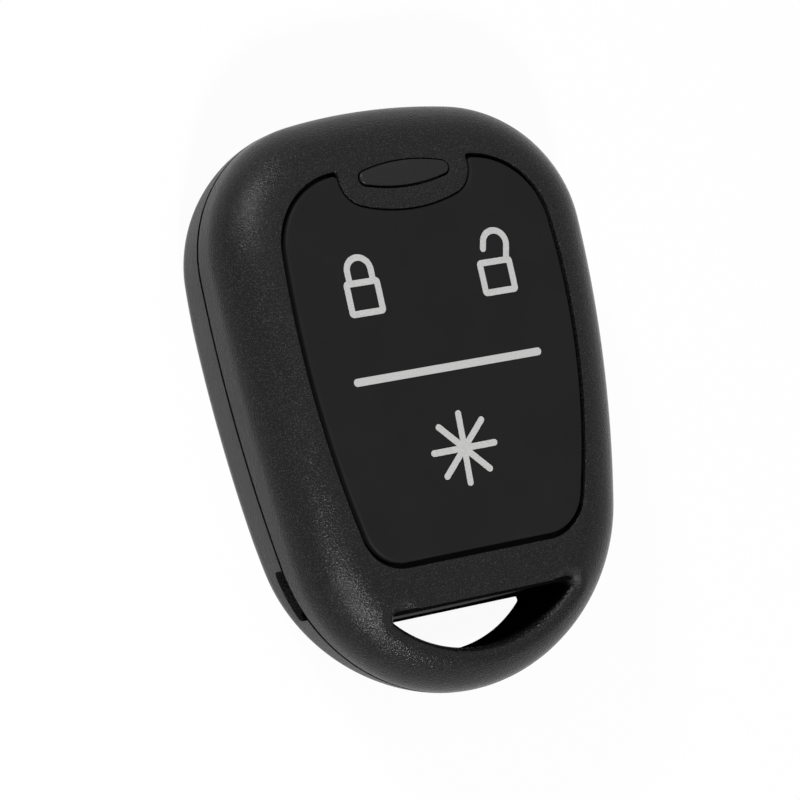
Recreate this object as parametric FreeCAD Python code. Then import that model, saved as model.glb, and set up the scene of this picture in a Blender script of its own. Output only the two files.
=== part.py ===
import FreeCAD
import Part
import math
import os

# A car alarm remote that lies on its back: X runs across it, +Y points to the lens end,
# +Z comes out of the keypad face, and the origin is on the flat back under the middle.

# Outline of the case, seen from the front: five tangent arcs on each side
case_length = 59.8
case_width = 42.0
nose_radius = 62.9
corner_radius = 13.9
flank_radius = 179.5

# Heights and rounding of the case
back_depth = 6.2
front_rise = 8.2
crown_radius = 200.0
crown_y = 3.3
front_edge_radius = 5.35
back_edge_radius = 2.65
back_flat_length = 18.0
back_end_radius = 65.0
wall = 1.6

# Seam between the two shells
seam_groove = 0.2
seam_groove_depth = 0.35
lip_thickness = 0.75
lip_height = 1.2
fit_gap = 0.1

# Key-ring slot through the tail
ring_width = 4.3
slot_depth = 4.65
slot_corner_radius = 0.8
slot_front_radius = 1.0
slot_back_radius = 0.8
slot_step = 0.35
slot_wall = 1.3

# Coin slot in the left edge of the rear shell
pry_length = 5.6
pry_height = 1.8
pry_depth = 1.1
pry_turn = 18.3
pry_corner_radius = 0.5

# Bare field for a label, sunk in the back
label_length = 22.0
label_width = 14.0
label_depth = 0.2
label_y = 2.0
label_corner_radius = 1.5

# Keypad opening of the front shell: it follows the case inside an even rim
rim_width = 5.28
key_flank_radius = 88.0
key_widest_below_nose = 20.6
shoulder_radius = 8.1
shoulder_below_nose = 14.6
key_corner_radius = 4.7
bridge_width = 4.45
tab_half_width = 7.4
tab_reach = 11.18
tab_corner_radius = 3.0
tab_bottom_radius = 17.0
opening_tip_radius = 0.3

# Rubber skin of the keypad
keypad_gap = 0.35
keypad_lift = 0.15
tab_gap = 0.14
keypad_tip_radius = 0.45
opening_edge_radius = 0.15
keypad_proud = 0.1
keypad_edge_radius = 0.25
skin_thickness = 0.9
skin_rim = 1.8
skin_flange = 1.2
glue_gap = 0.08

# Keys under the skin, the frame that carries them, and their travel
key_travel = 0.3
key_spare = 0.4
key_gap = 0.4
key_rib_width = 1.6
key_rib_gap = 0.3
plunger_radius = 1.6
plunger_gap = 0.05
frame_thickness = 1.0
frame_drop = 2.6
frame_window_radius = 3.0
leg_radius = 1.1

# Places of the three keys and of their printed marks
lock_x = 7.68
lock_y = 10.5
star_y = -5.92
divider_y = 2.3

# Printed marks
mark_stroke = 0.66
mark_thickness = 0.05
mark_lift = 0.01
lock_body_width = 3.43
lock_body_height = 3.06
lock_body_corner = 0.5
shackle_width = 2.64
shackle_height = 2.53
open_shackle_shift = 0.51
open_shackle_rise = 0.61
open_shackle_turn = 15.0
open_left_leg = 0.75
open_right_leg = 1.58
star_arm = 3.82
star_arms = 8
divider_half_length = 10.83
divider_stroke = 0.8

# Light window in the tab
window_half_length = 5.25
window_half_height = 1.43
window_end_radius = 0.85
window_below_nose = 7.58
window_gap = 0.15
window_recess = 0.12
window_flange = 0.45
window_flange_thickness = 0.7
light_post_radius = 1.2
light_post_gap = 0.2

# Coin cell and its contacts
cell_radius = 10.0
cell_height = 3.2
cell_cap_radius = 8.9
cell_cap_height = 0.5
cell_skin = 0.25
gasket_gap = 0.05
cell_y = -1.0
clip_thickness = 0.25
clip_width = 5.0
clip_side_gap = 0.35
clip_foot = 2.0
contact_room = 0.8
contact_thickness = 0.2
contact_width = 3.0
contact_half_length = 4.0
cell_rib_gap = 0.4
cell_rib_thickness = 0.9
cell_rib_height = 2.4

# Circuit board and its posts
board_thickness = 1.0
board_inset = 3.2
board_nose_gap = 1.0
board_tail_gap = 2.0
post_radius = 1.5
post_pin_radius = 0.7
post_pin_height = 0.8
pin_gap = 0.1
nose_post_inset = 7.0
nose_post_y = 15.5
tail_post_inset = 9.6
tail_post_y = -13.6

# Snap hooks of the front shell and their pockets in the rear shell
hook_width = 4.0
hook_thickness = 0.8
hook_reach = 3.4
hook_root = 1.6
barb_height = 1.0
barb_reach = 0.45
hook_places = (9.0, -8.0)

# Push switches on the board
switch_side = 5.2
switch_base_height = 1.2
switch_floor = 0.3
switch_well_radius = 1.9
switch_cover_thickness = 0.25
switch_cover_skirt = 0.7
switch_height = 3.4
stem_radius = 1.2
stem_flange_radius = 1.65
stem_flange_thickness = 0.35
stem_gap = 0.08
dome_radius = 1.75
dome_thickness = 0.08

# Small parts on the board
chip_length = 5.0
chip_width = 4.4
chip_height = 1.3
chip_legs = 8
chip_leg_length = 0.9
chip_leg_width = 0.3
chip_leg_pitch = 0.6
chip_inset = 10.8
chip_y = -3.5
resonator_side = 3.8
resonator_height = 1.3
resonator_inset = 10.8
resonator_y = -2.5
transistor_length = 2.9
transistor_width = 1.4
transistor_height = 1.0
transistor_inset = 10.6
transistor_y = -8.2
led_length = 1.6
led_width = 0.8
led_height = 0.6
passive_length = 1.0
passive_width = 0.5
passive_height = 0.45
track_width = 0.8
track_thickness = 0.05
track_end_y = -9.0

os.makedirs("parts", exist_ok=True)

# Places that follow from the sizes
nose_y = case_length / 2
tail_y = -case_length / 2
half_width = case_width / 2
top_z = back_depth + front_rise

nose_centre = FreeCAD.Vector(0, nose_y - nose_radius, 0)
corner_x = half_width - corner_radius
corner_rise = math.sqrt((nose_radius - corner_radius) ** 2 - corner_x ** 2)
corner_centre = FreeCAD.Vector(corner_x, nose_centre.y + corner_rise, 0)
flank_centre = FreeCAD.Vector(half_width - flank_radius, corner_centre.y, 0)

# The tail arc touches both flank arcs from inside and ends on the tail line
flank_offset = flank_radius - half_width
flank_drop = flank_centre.y - tail_y
tail_radius = (flank_radius ** 2 - flank_offset ** 2 - flank_drop ** 2) / (2 * (flank_radius - flank_drop))
tail_centre = FreeCAD.Vector(0, tail_y + tail_radius, 0)

slot_top_y = tail_y + ring_width + slot_depth
key_half_width = half_width - rim_width
key_bottom_y = slot_top_y + bridge_width
key_flank_centre = FreeCAD.Vector(key_half_width - key_flank_radius, nose_y - key_widest_below_nose, 0)
tab_bottom_y = nose_y - tab_reach
tab_rise = math.sqrt((tab_bottom_radius - tab_corner_radius) ** 2 - (tab_half_width - tab_corner_radius) ** 2)
tab_corner_y = tab_bottom_y + tab_bottom_radius - tab_rise
window_y = nose_y - window_below_nose

floor_z = wall
clip_z = floor_z + fit_gap
cell_z = clip_z + clip_thickness
board_z = cell_z + cell_height + contact_room
board_top_z = board_z + board_thickness
crown_centre = FreeCAD.Vector(0, crown_y, top_z - crown_radius)
skin_roof_radius = crown_radius + keypad_proud - skin_thickness
skin_roof_z = crown_centre.z + skin_roof_radius
frame_top_z = skin_roof_z - frame_drop
frame_z = frame_top_z - frame_thickness
key_low_z = frame_top_z + key_travel + key_spare
mark_low_z = key_low_z
stem_top_z = board_top_z + switch_height
nose_post_x = half_width - nose_post_inset
tail_post_x = half_width - tail_post_inset
chip_x = chip_inset - half_width
resonator_x = half_width - resonator_inset
transistor_x = half_width - transistor_inset
post_places = (
    (nose_post_x, nose_post_y),
    (-nose_post_x, nose_post_y),
    (tail_post_x, tail_post_y),
    (-tail_post_x, tail_post_y),
)
key_places = {
    "lock": (-lock_x, lock_y),
    "unlock": (lock_x, lock_y),
    "star": (0.0, star_y),
}


def save(name, shape):
    """Write one sub-part to its STEP file and say how large it is."""
    shape.exportStep("parts/" + name + ".step")
    print(name, "valid" if shape.isValid() else "NOT VALID", len(shape.Solids), round(shape.Volume, 3))


def box(low, high):
    """A block between two opposite corners."""
    size = FreeCAD.Vector(*high) - FreeCAD.Vector(*low)
    return Part.makeBox(size.x, size.y, size.z, FreeCAD.Vector(*low))


def cylinder(x, y, low, high, radius):
    """An upright cylinder between two heights."""
    return Part.makeCylinder(radius, high - low, FreeCAD.Vector(x, y, low))


def prism(edges, low, high):
    """A closed flat outline, raised from one height to another."""
    face = Part.Face(Part.Wire(edges))
    face.translate(FreeCAD.Vector(0, 0, low))
    return face.extrude(FreeCAD.Vector(0, 0, high - low))


def on_circle(centre, radius, angle):
    return centre + FreeCAD.Vector(radius * math.cos(angle), radius * math.sin(angle), 0)


def arc(centre, radius, start, end):
    """An arc in the flat, between two angles in radians."""
    ends = [on_circle(centre, radius, angle) for angle in (start, (start + end) / 2, end)]
    return Part.Arc(*ends).toShape()


def line(start, end):
    return Part.LineSegment(start, end).toShape()


def mirrored(centre):
    return FreeCAD.Vector(-centre.x, centre.y, centre.z)


def case_edges(inset):
    """The case outline, drawn a distance inside its outer face."""
    nose_angle = math.atan2(corner_centre.y - nose_centre.y, corner_centre.x - nose_centre.x)
    tail_angle = math.atan2(tail_centre.y - flank_centre.y, tail_centre.x - flank_centre.x)
    return [
        arc(nose_centre, nose_radius - inset, math.pi - nose_angle, nose_angle),
        arc(corner_centre, corner_radius - inset, nose_angle, 0),
        arc(flank_centre, flank_radius - inset, 0, tail_angle),
        arc(tail_centre, tail_radius - inset, tail_angle, -math.pi - tail_angle),
        arc(mirrored(flank_centre), flank_radius - inset, math.pi - tail_angle, math.pi),
        arc(mirrored(corner_centre), corner_radius - inset, math.pi, math.pi - nose_angle),
    ]


def case_prism(inset, low, high):
    return prism(case_edges(inset), low, high)


def case_band(outer_inset, inner_inset, low, high):
    """A wall that follows the case between two insets."""
    return case_prism(outer_inset, low, high).cut(case_prism(inner_inset, low, high))


def crown(radius):
    """The drum whose top is the front face, bowed lengthwise, with its seam turned away from it."""
    across = FreeCAD.Vector(1, 0, 0)
    drum = Part.makeCylinder(radius, 2 * case_width, crown_centre - across * case_width, across)
    drum.rotate(crown_centre, across, 180)
    return drum


def back_profile(inset):
    """All that lies above the back face: flat in the middle, rising to both ends."""
    reach = case_length
    flat = back_flat_length / 2
    radius = back_end_radius - inset
    turn = math.asin(min(reach / 2, radius * 0.9) / radius)

    def at(side, angle):
        y = side * (flat + radius * math.sin(angle))
        return FreeCAD.Vector(-reach, y, inset + radius * (1 - math.cos(angle)))

    high = top_z + crown_radius
    edges = [
        Part.Arc(at(-1, turn), at(-1, turn / 2), at(-1, 0)).toShape(),
        line(at(-1, 0), at(1, 0)),
        Part.Arc(at(1, 0), at(1, turn / 2), at(1, turn)).toShape(),
    ]
    corner_one = FreeCAD.Vector(-reach, at(1, turn).y, high)
    corner_two = FreeCAD.Vector(-reach, at(-1, turn).y, high)
    edges += [line(at(1, turn), corner_one), line(corner_one, corner_two), line(corner_two, at(-1, turn))]
    return Part.Face(Part.Wire(edges)).extrude(FreeCAD.Vector(2 * reach, 0, 0))


def edges_on(shape, outline, low, high):
    """The edges of a shape that run along a flat outline, seen from above, between two heights."""
    wire = Part.Wire(outline)
    found = []
    for edge in shape.Edges:
        middle = edge.valueAt((edge.FirstParameter + edge.LastParameter) / 2)
        tangent = edge.tangentAt((edge.FirstParameter + edge.LastParameter) / 2)
        if not low < middle.z < high or abs(tangent.z) > 0.9:
            continue
        flat = Part.Vertex(middle.x, middle.y, 0)
        if flat.distToShape(wire)[0] < 1e-4:
            found.append(edge)
    return found


def case_block(inset):
    """The whole rounded case as one block, drawn a distance inside its outer face."""
    block = case_prism(inset, -1, top_z + 1)
    block = block.common(crown(crown_radius - inset)).common(back_profile(inset))
    front = edges_on(block, case_edges(inset), back_depth, top_z + 1)
    block = block.makeFillet(front_edge_radius - inset, front)
    back = edges_on(block, case_edges(inset), -1, back_depth)
    return block.makeFillet(back_edge_radius - inset, back)


def slot_edges(grow, step=0.0):
    """The key-ring slot: a straight top, set lower by a step, and a bottom that follows the tail."""
    top = slot_top_y + grow - step
    radius = tail_radius - ring_width + grow
    corner = slot_corner_radius + grow
    # Each corner arc touches the straight top and the long arc
    height = top - corner - tail_centre.y
    right = FreeCAD.Vector(math.sqrt((radius - corner) ** 2 - height ** 2), top - corner, 0)
    angle = math.atan2(height, right.x)
    return [
        line(FreeCAD.Vector(-right.x, top, 0), FreeCAD.Vector(right.x, top, 0)),
        arc(right, corner, math.pi / 2, angle),
        arc(tail_centre, radius, angle, -math.pi - angle),
        arc(mirrored(right), corner, math.pi - angle, math.pi / 2),
    ]


def case_shell():
    """The hollow case in one piece, with the key-ring slot walled off from the inside."""
    block = case_block(0)
    block = block.cut(prism(slot_edges(0), back_depth, top_z + 1))
    block = block.cut(prism(slot_edges(0, slot_step), -1, back_depth))
    front = edges_on(block, slot_edges(0), back_depth + 1, top_z + 1)
    block = block.makeFillet(slot_front_radius, front)
    back = edges_on(block, slot_edges(0, slot_step), -1, back_depth - 1)
    block = block.makeFillet(slot_back_radius, back)
    hollow = case_block(wall).cut(prism(slot_edges(slot_wall), -1, top_z + 1))
    return block.cut(hollow)


def key_edges(grow, lift):
    """The keypad opening, without the notch for the tab, with its lower end raised by a lift."""
    flank = key_flank_radius + grow
    shoulder = shoulder_radius + grow
    corner = key_corner_radius + grow
    shoulder_y = nose_y - shoulder_below_nose
    corner_y = key_bottom_y + key_corner_radius + lift
    shoulder_reach = key_flank_radius - shoulder_radius
    corner_reach = key_flank_radius - key_corner_radius
    shoulder_angle = math.asin((shoulder_y - key_flank_centre.y) / shoulder_reach)
    corner_angle = math.asin((corner_y - key_flank_centre.y) / corner_reach)
    right_shoulder = on_circle(key_flank_centre, shoulder_reach, shoulder_angle)
    right_corner = on_circle(key_flank_centre, corner_reach, corner_angle)
    top = shoulder_y + shoulder
    bottom = corner_y - corner
    half_turn = math.pi
    return [
        line(FreeCAD.Vector(-right_shoulder.x, top, 0), FreeCAD.Vector(right_shoulder.x, top, 0)),
        arc(right_shoulder, shoulder, half_turn / 2, shoulder_angle),
        arc(key_flank_centre, flank, shoulder_angle, corner_angle),
        arc(right_corner, corner, corner_angle, -half_turn / 2),
        line(FreeCAD.Vector(right_corner.x, bottom, 0), FreeCAD.Vector(-right_corner.x, bottom, 0)),
        arc(mirrored(right_corner), corner, -half_turn / 2, -half_turn - corner_angle),
        arc(mirrored(key_flank_centre), flank, half_turn - corner_angle, half_turn - shoulder_angle),
        arc(mirrored(right_shoulder), shoulder, half_turn - shoulder_angle, half_turn / 2),
    ]


def window_prism(grow, low, high):
    """The long rounded outline of the light window: two long arcs and two small ends."""
    end = window_end_radius + grow
    reach = window_half_length - window_end_radius
    bulge = window_half_height + grow
    radius = (reach ** 2 + bulge ** 2 - end ** 2) / (2 * (bulge - end))
    turn = math.atan2(radius - bulge, reach)
    right = FreeCAD.Vector(reach, window_y, 0)
    upper = FreeCAD.Vector(0, window_y + radius - bulge, 0)
    lower = FreeCAD.Vector(0, window_y - radius + bulge, 0)
    edges = [
        arc(lower, radius, math.pi - turn, turn),
        arc(right, end, turn, -turn),
        arc(upper, radius, -turn, turn - math.pi),
        arc(mirrored(right), end, math.pi + turn, math.pi - turn),
    ]
    return prism(edges, low, high)


def tab_prism(grow, low, high):
    """The tab of the front shell that dips into the keypad: straight sides and a bowed end."""
    side = tab_half_width + grow
    corner = FreeCAD.Vector(tab_half_width - tab_corner_radius, tab_corner_y, 0)
    radius = tab_corner_radius + grow
    bow_centre = FreeCAD.Vector(0, tab_bottom_y + tab_bottom_radius, 0)
    turn = math.atan2(tab_rise, tab_half_width - tab_corner_radius)
    left_top = FreeCAD.Vector(-side, nose_y, 0)
    right_top = FreeCAD.Vector(side, nose_y, 0)
    edges = [
        line(left_top, right_top),
        line(right_top, FreeCAD.Vector(side, tab_corner_y, 0)),
        arc(corner, radius, 0, -turn),
        arc(bow_centre, tab_bottom_radius + grow, -turn, turn - math.pi),
        arc(mirrored(corner), radius, turn - math.pi, -math.pi),
        line(FreeCAD.Vector(-side, tab_corner_y, 0), left_top),
    ]
    return prism(edges, low, high)


def key_prism(grow, tab_grow, lift, low, high):
    """The keypad opening with its notch for the tab, raised between two heights."""
    return prism(key_edges(grow, lift), low, high).cut(tab_prism(tab_grow, low - 1, high + 1))


def keypad_prism(inset, low, high):
    """The keypad's own outline, a distance inside its edge, raised between two heights."""
    return key_prism(-keypad_gap - inset, tab_gap + inset, keypad_lift, low, high)


def rounded_tips(shape, radius):
    """The same upright shape with its two tips beside the tab rounded."""
    tips = []
    for edge in shape.Edges:
        tangent = edge.tangentAt(edge.FirstParameter)
        middle = edge.CenterOfMass
        beside_tab = abs(abs(middle.x) - tab_half_width) < 2 * tab_gap
        if abs(tangent.z) > 0.99 and middle.y > tab_corner_y + tab_gap and beside_tab:
            tips.append(edge)
    return shape.makeFillet(radius, tips)


def hook(side, y):
    """One snap hook that hangs from the front shell beside its wall."""
    outer = wall + 2 * fit_gap
    inner = outer + hook_thickness
    root_low = back_depth + lip_height + 2 * fit_gap
    low = back_depth - hook_reach
    blade = case_band(outer, inner, low, root_low + hook_root)
    root = case_band(wall / 2, inner, root_low, root_low + hook_root)
    barb = case_band(outer - barb_reach - fit_gap, inner, low, low + barb_height)
    near = 0 if side > 0 else -case_width
    zone = box((near, y - hook_width / 2, 0), (near + case_width, y + hook_width / 2, top_z))
    return blade.fuse([root, barb]).common(zone)


def hook_pocket(side, y):
    """The pocket in the rear shell's wall that a hook's barb snaps into."""
    outer = wall + fit_gap - barb_reach - fit_gap
    low = back_depth - hook_reach - fit_gap
    high = back_depth - hook_reach + barb_height + fit_gap
    near = 0 if side > 0 else -case_width
    half = hook_width / 2 + fit_gap
    zone = box((near, y - half, 0), (near + case_width, y + half, top_z))
    return case_band(outer, wall + fit_gap, low, high).common(zone)


def rim_edges(part, opening):
    """The edges where an opening's upright wall meets the crowned front face."""
    found = []
    for edge in part.Edges:
        middle = edge.valueAt((edge.FirstParameter + edge.LastParameter) / 2)
        radial = math.hypot(middle.y - crown_centre.y, middle.z - crown_centre.z)
        at_crown = abs(radial - crown_radius) < fit_gap / 10
        if at_crown and Part.Vertex(middle).distToShape(opening)[0] < fit_gap / 100:
            found.append(edge)
    return found


def front_shell(shell):
    """The upper half of the case, with the keypad opening, the window hole and the hooks."""
    low = back_depth
    part = shell.common(box((-case_width, -case_length, low), (case_width, case_length, top_z + 1)))
    rebate_inset = wall - lip_thickness - fit_gap
    part = part.cut(case_band(rebate_inset, wall + fit_gap, low, low + lip_height + fit_gap))
    part = part.cut(case_band(-1, seam_groove_depth, low, low + seam_groove / 2))
    opening = key_prism(0, 0, 0, low + hook_root, top_z + 1)
    opening = rounded_tips(opening, opening_tip_radius)
    part = part.cut(opening)
    part = part.makeFillet(opening_edge_radius, rim_edges(part, opening))
    part = part.cut(window_prism(0, low + hook_root, top_z + 1))
    for y in hook_places:
        for side in (1, -1):
            part = part.fuse(hook(side, y))
    return part.removeSplitter()


def pry_slot():
    """The coin slot, square to the tail arc on the left side."""
    inner = tail_radius - pry_depth
    block = box((inner, -pry_length / 2, back_depth - pry_height), (tail_radius + 2, pry_length / 2, back_depth))
    lower = [edge for edge in block.Edges if edge.CenterOfMass.z < back_depth - pry_height + 0.01]
    lower = [edge for edge in lower if abs(edge.tangentAt(edge.FirstParameter).x) > 0.9]
    block = block.makeFillet(pry_corner_radius, lower)
    block.rotate(FreeCAD.Vector(0, 0, 0), FreeCAD.Vector(0, 0, 1), 180 + pry_turn)
    block.translate(tail_centre)
    return block


def rounded_block(x, y, width, length, low, high, radius):
    """A block with its upright edges rounded."""
    block = box((x - width / 2, y - length / 2, low), (x + width / 2, y + length / 2, high))
    upright = [edge for edge in block.Edges if abs(edge.tangentAt(edge.FirstParameter).z) > 0.9]
    return block.makeFillet(radius, upright)


def rear_shell(shell):
    """The lower half of the case, with its lip, the board posts and the ribs round the cell."""
    high = back_depth
    part = shell.common(box((-case_width, -case_length, -1), (case_width, case_length, high)))
    part = part.cut(case_band(-1, seam_groove_depth, high - seam_groove / 2, high))
    lip = case_band(wall - lip_thickness, wall, high - seam_groove, high + lip_height)
    part = part.fuse(lip)
    for x, y in post_places:
        part = part.fuse(cylinder(x, y, floor_z / 2, board_z, post_radius))
        pin_top = board_top_z - board_thickness + post_pin_height
        part = part.fuse(cylinder(x, y, board_z - fit_gap, pin_top, post_pin_radius))
    rib_inner = cell_radius + cell_rib_gap
    rib = cylinder(0, cell_y, floor_z / 2, floor_z + cell_rib_height, rib_inner + cell_rib_thickness)
    rib = rib.cut(cylinder(0, cell_y, 0, back_depth, rib_inner))
    clip_half = clip_width / 2 + cell_rib_gap
    rib = rib.cut(box((-case_width, cell_y - clip_half, 0), (case_width, cell_y + clip_half, back_depth)))
    part = part.fuse(rib)
    for y in hook_places:
        for side in (1, -1):
            part = part.cut(hook_pocket(side, y))
    part = part.cut(pry_slot())
    label = rounded_block(0, label_y, label_length, label_width, -1, label_depth, label_corner_radius)
    return part.cut(label).removeSplitter()


def keypad_skin():
    """The one-piece rubber face: a crowned cap, a flange under the shell and a hollow for the keys."""
    flange_low = frame_top_z + glue_gap
    cap = rounded_tips(keypad_prism(0, flange_low, top_z + 1), keypad_tip_radius)
    cap = cap.common(crown(crown_radius + keypad_proud))
    rim = [edge for edge in cap.Edges if edge.BoundBox.ZMin > flange_low + skin_thickness]
    cap = cap.makeFillet(keypad_edge_radius, rim)
    flange = key_prism(skin_flange, -skin_flange, 0, flange_low, top_z)
    flange = flange.common(case_block(wall + fit_gap))
    hollow = keypad_prism(skin_rim, flange_low - 1, top_z).common(crown(skin_roof_radius))
    return cap.fuse(flange).cut(hollow).removeSplitter()


def rib_boxes(grow):
    """The T of ribs that parts the three keys, drawn wider for the gaps beside it."""
    half = key_rib_width / 2 + grow
    low = frame_top_z - frame_thickness / 2
    high = skin_roof_z + grow
    across = box((-half_width, divider_y - half, low), (half_width, divider_y + half, high))
    upward = box((-half, divider_y, low), (half, nose_y, high))
    return across.fuse(upward)


def keypad_frame():
    """The plate on four legs that carries the skin's flange and parts the keys with its ribs."""
    plate = key_prism(skin_flange, -skin_flange, 0, frame_z, frame_top_z)
    inside = keypad_prism(skin_rim + key_gap, frame_z, top_z)
    ribs = rib_boxes(0).common(inside).common(crown(skin_roof_radius - glue_gap))
    part = plate.fuse(ribs)
    for x, y in key_places.values():
        part = part.cut(cylinder(x, y, frame_z - 1, frame_top_z + 0.01, frame_window_radius))
    for x, y in post_places:
        leg = cylinder(x, y, board_top_z, frame_z + frame_thickness / 2, leg_radius)
        part = part.fuse(leg)
        part = part.cut(cylinder(x, y, board_z, board_z + post_pin_height + fit_gap, post_pin_radius + pin_gap))
    return part.removeSplitter()


def key_plate_of(name):
    """One hard key under the skin, with the plunger that meets its switch."""
    low = key_low_z
    high = skin_roof_z
    whole = keypad_prism(skin_rim + key_gap, low, high)
    whole = whole.cut(rib_boxes(key_rib_gap)).common(crown(skin_roof_radius - glue_gap))
    zones = {
        "lock": ((-case_width, divider_y, low), (0, nose_y, high)),
        "unlock": ((0, divider_y, low), (case_width, nose_y, high)),
        "star": ((-case_width, tail_y, low), (case_width, divider_y, high)),
    }
    plate = whole.common(box(*zones[name]))
    x, y = key_places[name]
    plunger = cylinder(x, y, stem_top_z + plunger_gap, low + key_spare, plunger_radius)
    return plate.fuse(plunger).removeSplitter()


def stroke(start, end, width):
    """A round-ended flat stroke between two points."""
    along = end - start
    side = FreeCAD.Vector(-along.y, along.x, 0).normalize() * (width / 2)
    forward = FreeCAD.Vector(along).normalize() * (width / 2)
    return [
        line(start + side, end + side),
        Part.Arc(end + side, end + forward, end - side).toShape(),
        line(end - side, start - side),
        Part.Arc(start - side, start - forward, start + side).toShape(),
    ]


def print_layer(prisms):
    """Ink shapes, trimmed to a thin layer that follows the crowned skin."""
    base = crown_radius + keypad_proud + mark_lift
    shape = prisms[0]
    if len(prisms) > 1:
        shape = shape.fuse(prisms[1:])
    layer = crown(base + mark_thickness).cut(crown(base))
    return shape.common(layer).removeSplitter()


def mark_prism(edges):
    return prism(edges, mark_low_z, top_z + 2)


def lock_body(x, y):
    """The square outline of the padlock, below its shackle."""
    width = lock_body_width
    height = lock_body_height
    outer = rounded_block(
        x, y, width + mark_stroke, height + mark_stroke, mark_low_z, top_z + 2, lock_body_corner
    )
    inner = box(
        (x - (width - mark_stroke) / 2, y - (height - mark_stroke) / 2, mark_low_z - 1),
        (x + (width - mark_stroke) / 2, y + (height - mark_stroke) / 2, top_z + 3),
    )
    return outer.cut(inner)


def shackle(x, y, left_leg, right_leg):
    """The bow of the padlock round its centre: a half-round top and two legs."""
    radius = shackle_width / 2
    centre = FreeCAD.Vector(x, y, 0)
    outer = radius + mark_stroke / 2
    reach = FreeCAD.Vector(outer, 0, 0)
    bow = mark_prism([arc(centre, outer, math.pi, 0), line(centre + reach, centre - reach)])
    bow = bow.cut(cylinder(x, y, mark_low_z - 1, top_z + 3, radius - mark_stroke / 2))
    pieces = [bow]
    for side, leg in ((-1, left_leg), (1, right_leg)):
        top = centre + FreeCAD.Vector(side * radius, 0, 0)
        bottom = top - FreeCAD.Vector(0, leg, 0)
        pieces.append(mark_prism(stroke(top, bottom, mark_stroke)))
    return pieces


def lock_icon():
    """A closed padlock."""
    x, y = key_places["lock"]
    leg = shackle_height - shackle_width / 2
    return print_layer([lock_body(x, y)] + shackle(x, y + lock_body_height / 2 + leg, leg, leg))


def unlock_icon():
    """An open padlock: the bow stands higher, leans to the right and has its left leg free."""
    x, y = key_places["unlock"]
    leg = shackle_height - shackle_width / 2
    centre = FreeCAD.Vector(x + open_shackle_shift, y + lock_body_height / 2 + leg + open_shackle_rise, 0)
    pieces = shackle(centre.x, centre.y, open_left_leg, open_right_leg)
    for piece in pieces:
        piece.rotate(centre, FreeCAD.Vector(0, 0, 1), -open_shackle_turn)
    return print_layer([lock_body(x, y)] + pieces)


def star_icon():
    """Eight round-ended arms that meet in the middle."""
    x, y = key_places["star"]
    centre = FreeCAD.Vector(x, y, 0)
    arms = []
    for number in range(star_arms // 2):
        angle = 2 * math.pi * number / star_arms
        reach = star_arm - mark_stroke / 2
        start = on_circle(centre, reach, angle)
        end = on_circle(centre, reach, angle + math.pi)
        arms.append(mark_prism(stroke(start, end, mark_stroke)))
    return print_layer(arms)


def divider_line():
    """The straight printed line between the upper keys and the star key."""
    reach = divider_half_length - divider_stroke / 2
    start = FreeCAD.Vector(-reach, divider_y, 0)
    end = FreeCAD.Vector(reach, divider_y, 0)
    return print_layer([mark_prism(stroke(start, end, divider_stroke))])


def light_window():
    """The light window with its flange inside the shell and a light post down to the lamp."""
    low = board_top_z + led_height + light_post_gap
    face = window_prism(-window_gap, back_depth, top_z)
    inner = crown_radius - wall - fit_gap
    face = face.common(crown(crown_radius - window_recess)).cut(crown(inner - window_flange_thickness))
    flange = window_prism(window_flange, back_depth, top_z)
    flange = flange.common(crown(inner)).cut(crown(inner - window_flange_thickness))
    flange = flange.common(case_block(wall + fit_gap))
    post = cylinder(0, window_y, low, top_z, light_post_radius).common(crown(inner))
    return face.fuse([flange, post]).removeSplitter()


def circuit_board():
    """The board, held by four pins between the posts and the frame's legs."""
    board = case_prism(board_inset, board_z, board_top_z)
    low_y = slot_top_y + slot_wall + board_tail_gap
    high_y = nose_y - wall - board_nose_gap
    board = board.common(box((-half_width, low_y, board_z), (half_width, high_y, board_top_z)))
    for x, y in post_places:
        board = board.cut(cylinder(x, y, board_z - 1, board_top_z + 1, post_pin_radius + pin_gap))
    return board


def antenna_track():
    """The copper loop of the transmitter, along the edge of the board."""
    outer = board_inset + track_width / 2
    track = case_band(outer, outer + track_width, board_top_z, board_top_z + track_thickness)
    high_y = nose_y - wall - board_nose_gap - track_width
    keep = box((-half_width, track_end_y, board_z), (half_width, high_y, top_z))
    return track.common(keep)


def coin_cell():
    """The coin cell: its steel can, the smaller cap that faces the board and the seal between."""
    can = cylinder(0, cell_y, cell_z, cell_z + cell_height - cell_cap_height / 2, cell_radius)
    can = can.cut(cylinder(0, cell_y, cell_z + cell_skin, top_z, cell_radius - cell_skin))
    cap = cylinder(0, cell_y, cell_z + cell_skin + gasket_gap, cell_z + cell_height, cell_cap_radius)
    seal = cylinder(0, cell_y, cell_z + cell_skin, cell_z + cell_height - cell_cap_height, cell_radius - cell_skin)
    seal = seal.cut(cylinder(0, cell_y, cell_z + cell_skin, top_z, cell_cap_radius))
    return can, cap, seal


def battery_clip():
    """The spring strap under the cell, with two legs up to the board: the plus contact."""
    inner = cell_radius + clip_side_gap
    outer = inner + clip_thickness
    half = clip_width / 2
    strap = box((-outer, cell_y - half, clip_z), (outer, cell_y + half, clip_z + clip_thickness))
    pieces = []
    for side in (1, -1):
        near, far = sorted((side * inner, side * outer))
        pieces.append(box((near, cell_y - half, clip_z), (far, cell_y + half, board_z)))
        near, far = sorted((side * inner, side * (outer + clip_foot)))
        foot_low = board_z - clip_thickness
        pieces.append(box((near, cell_y - half, foot_low), (far, cell_y + half, board_z)))
    return strap.fuse(pieces).removeSplitter()


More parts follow.
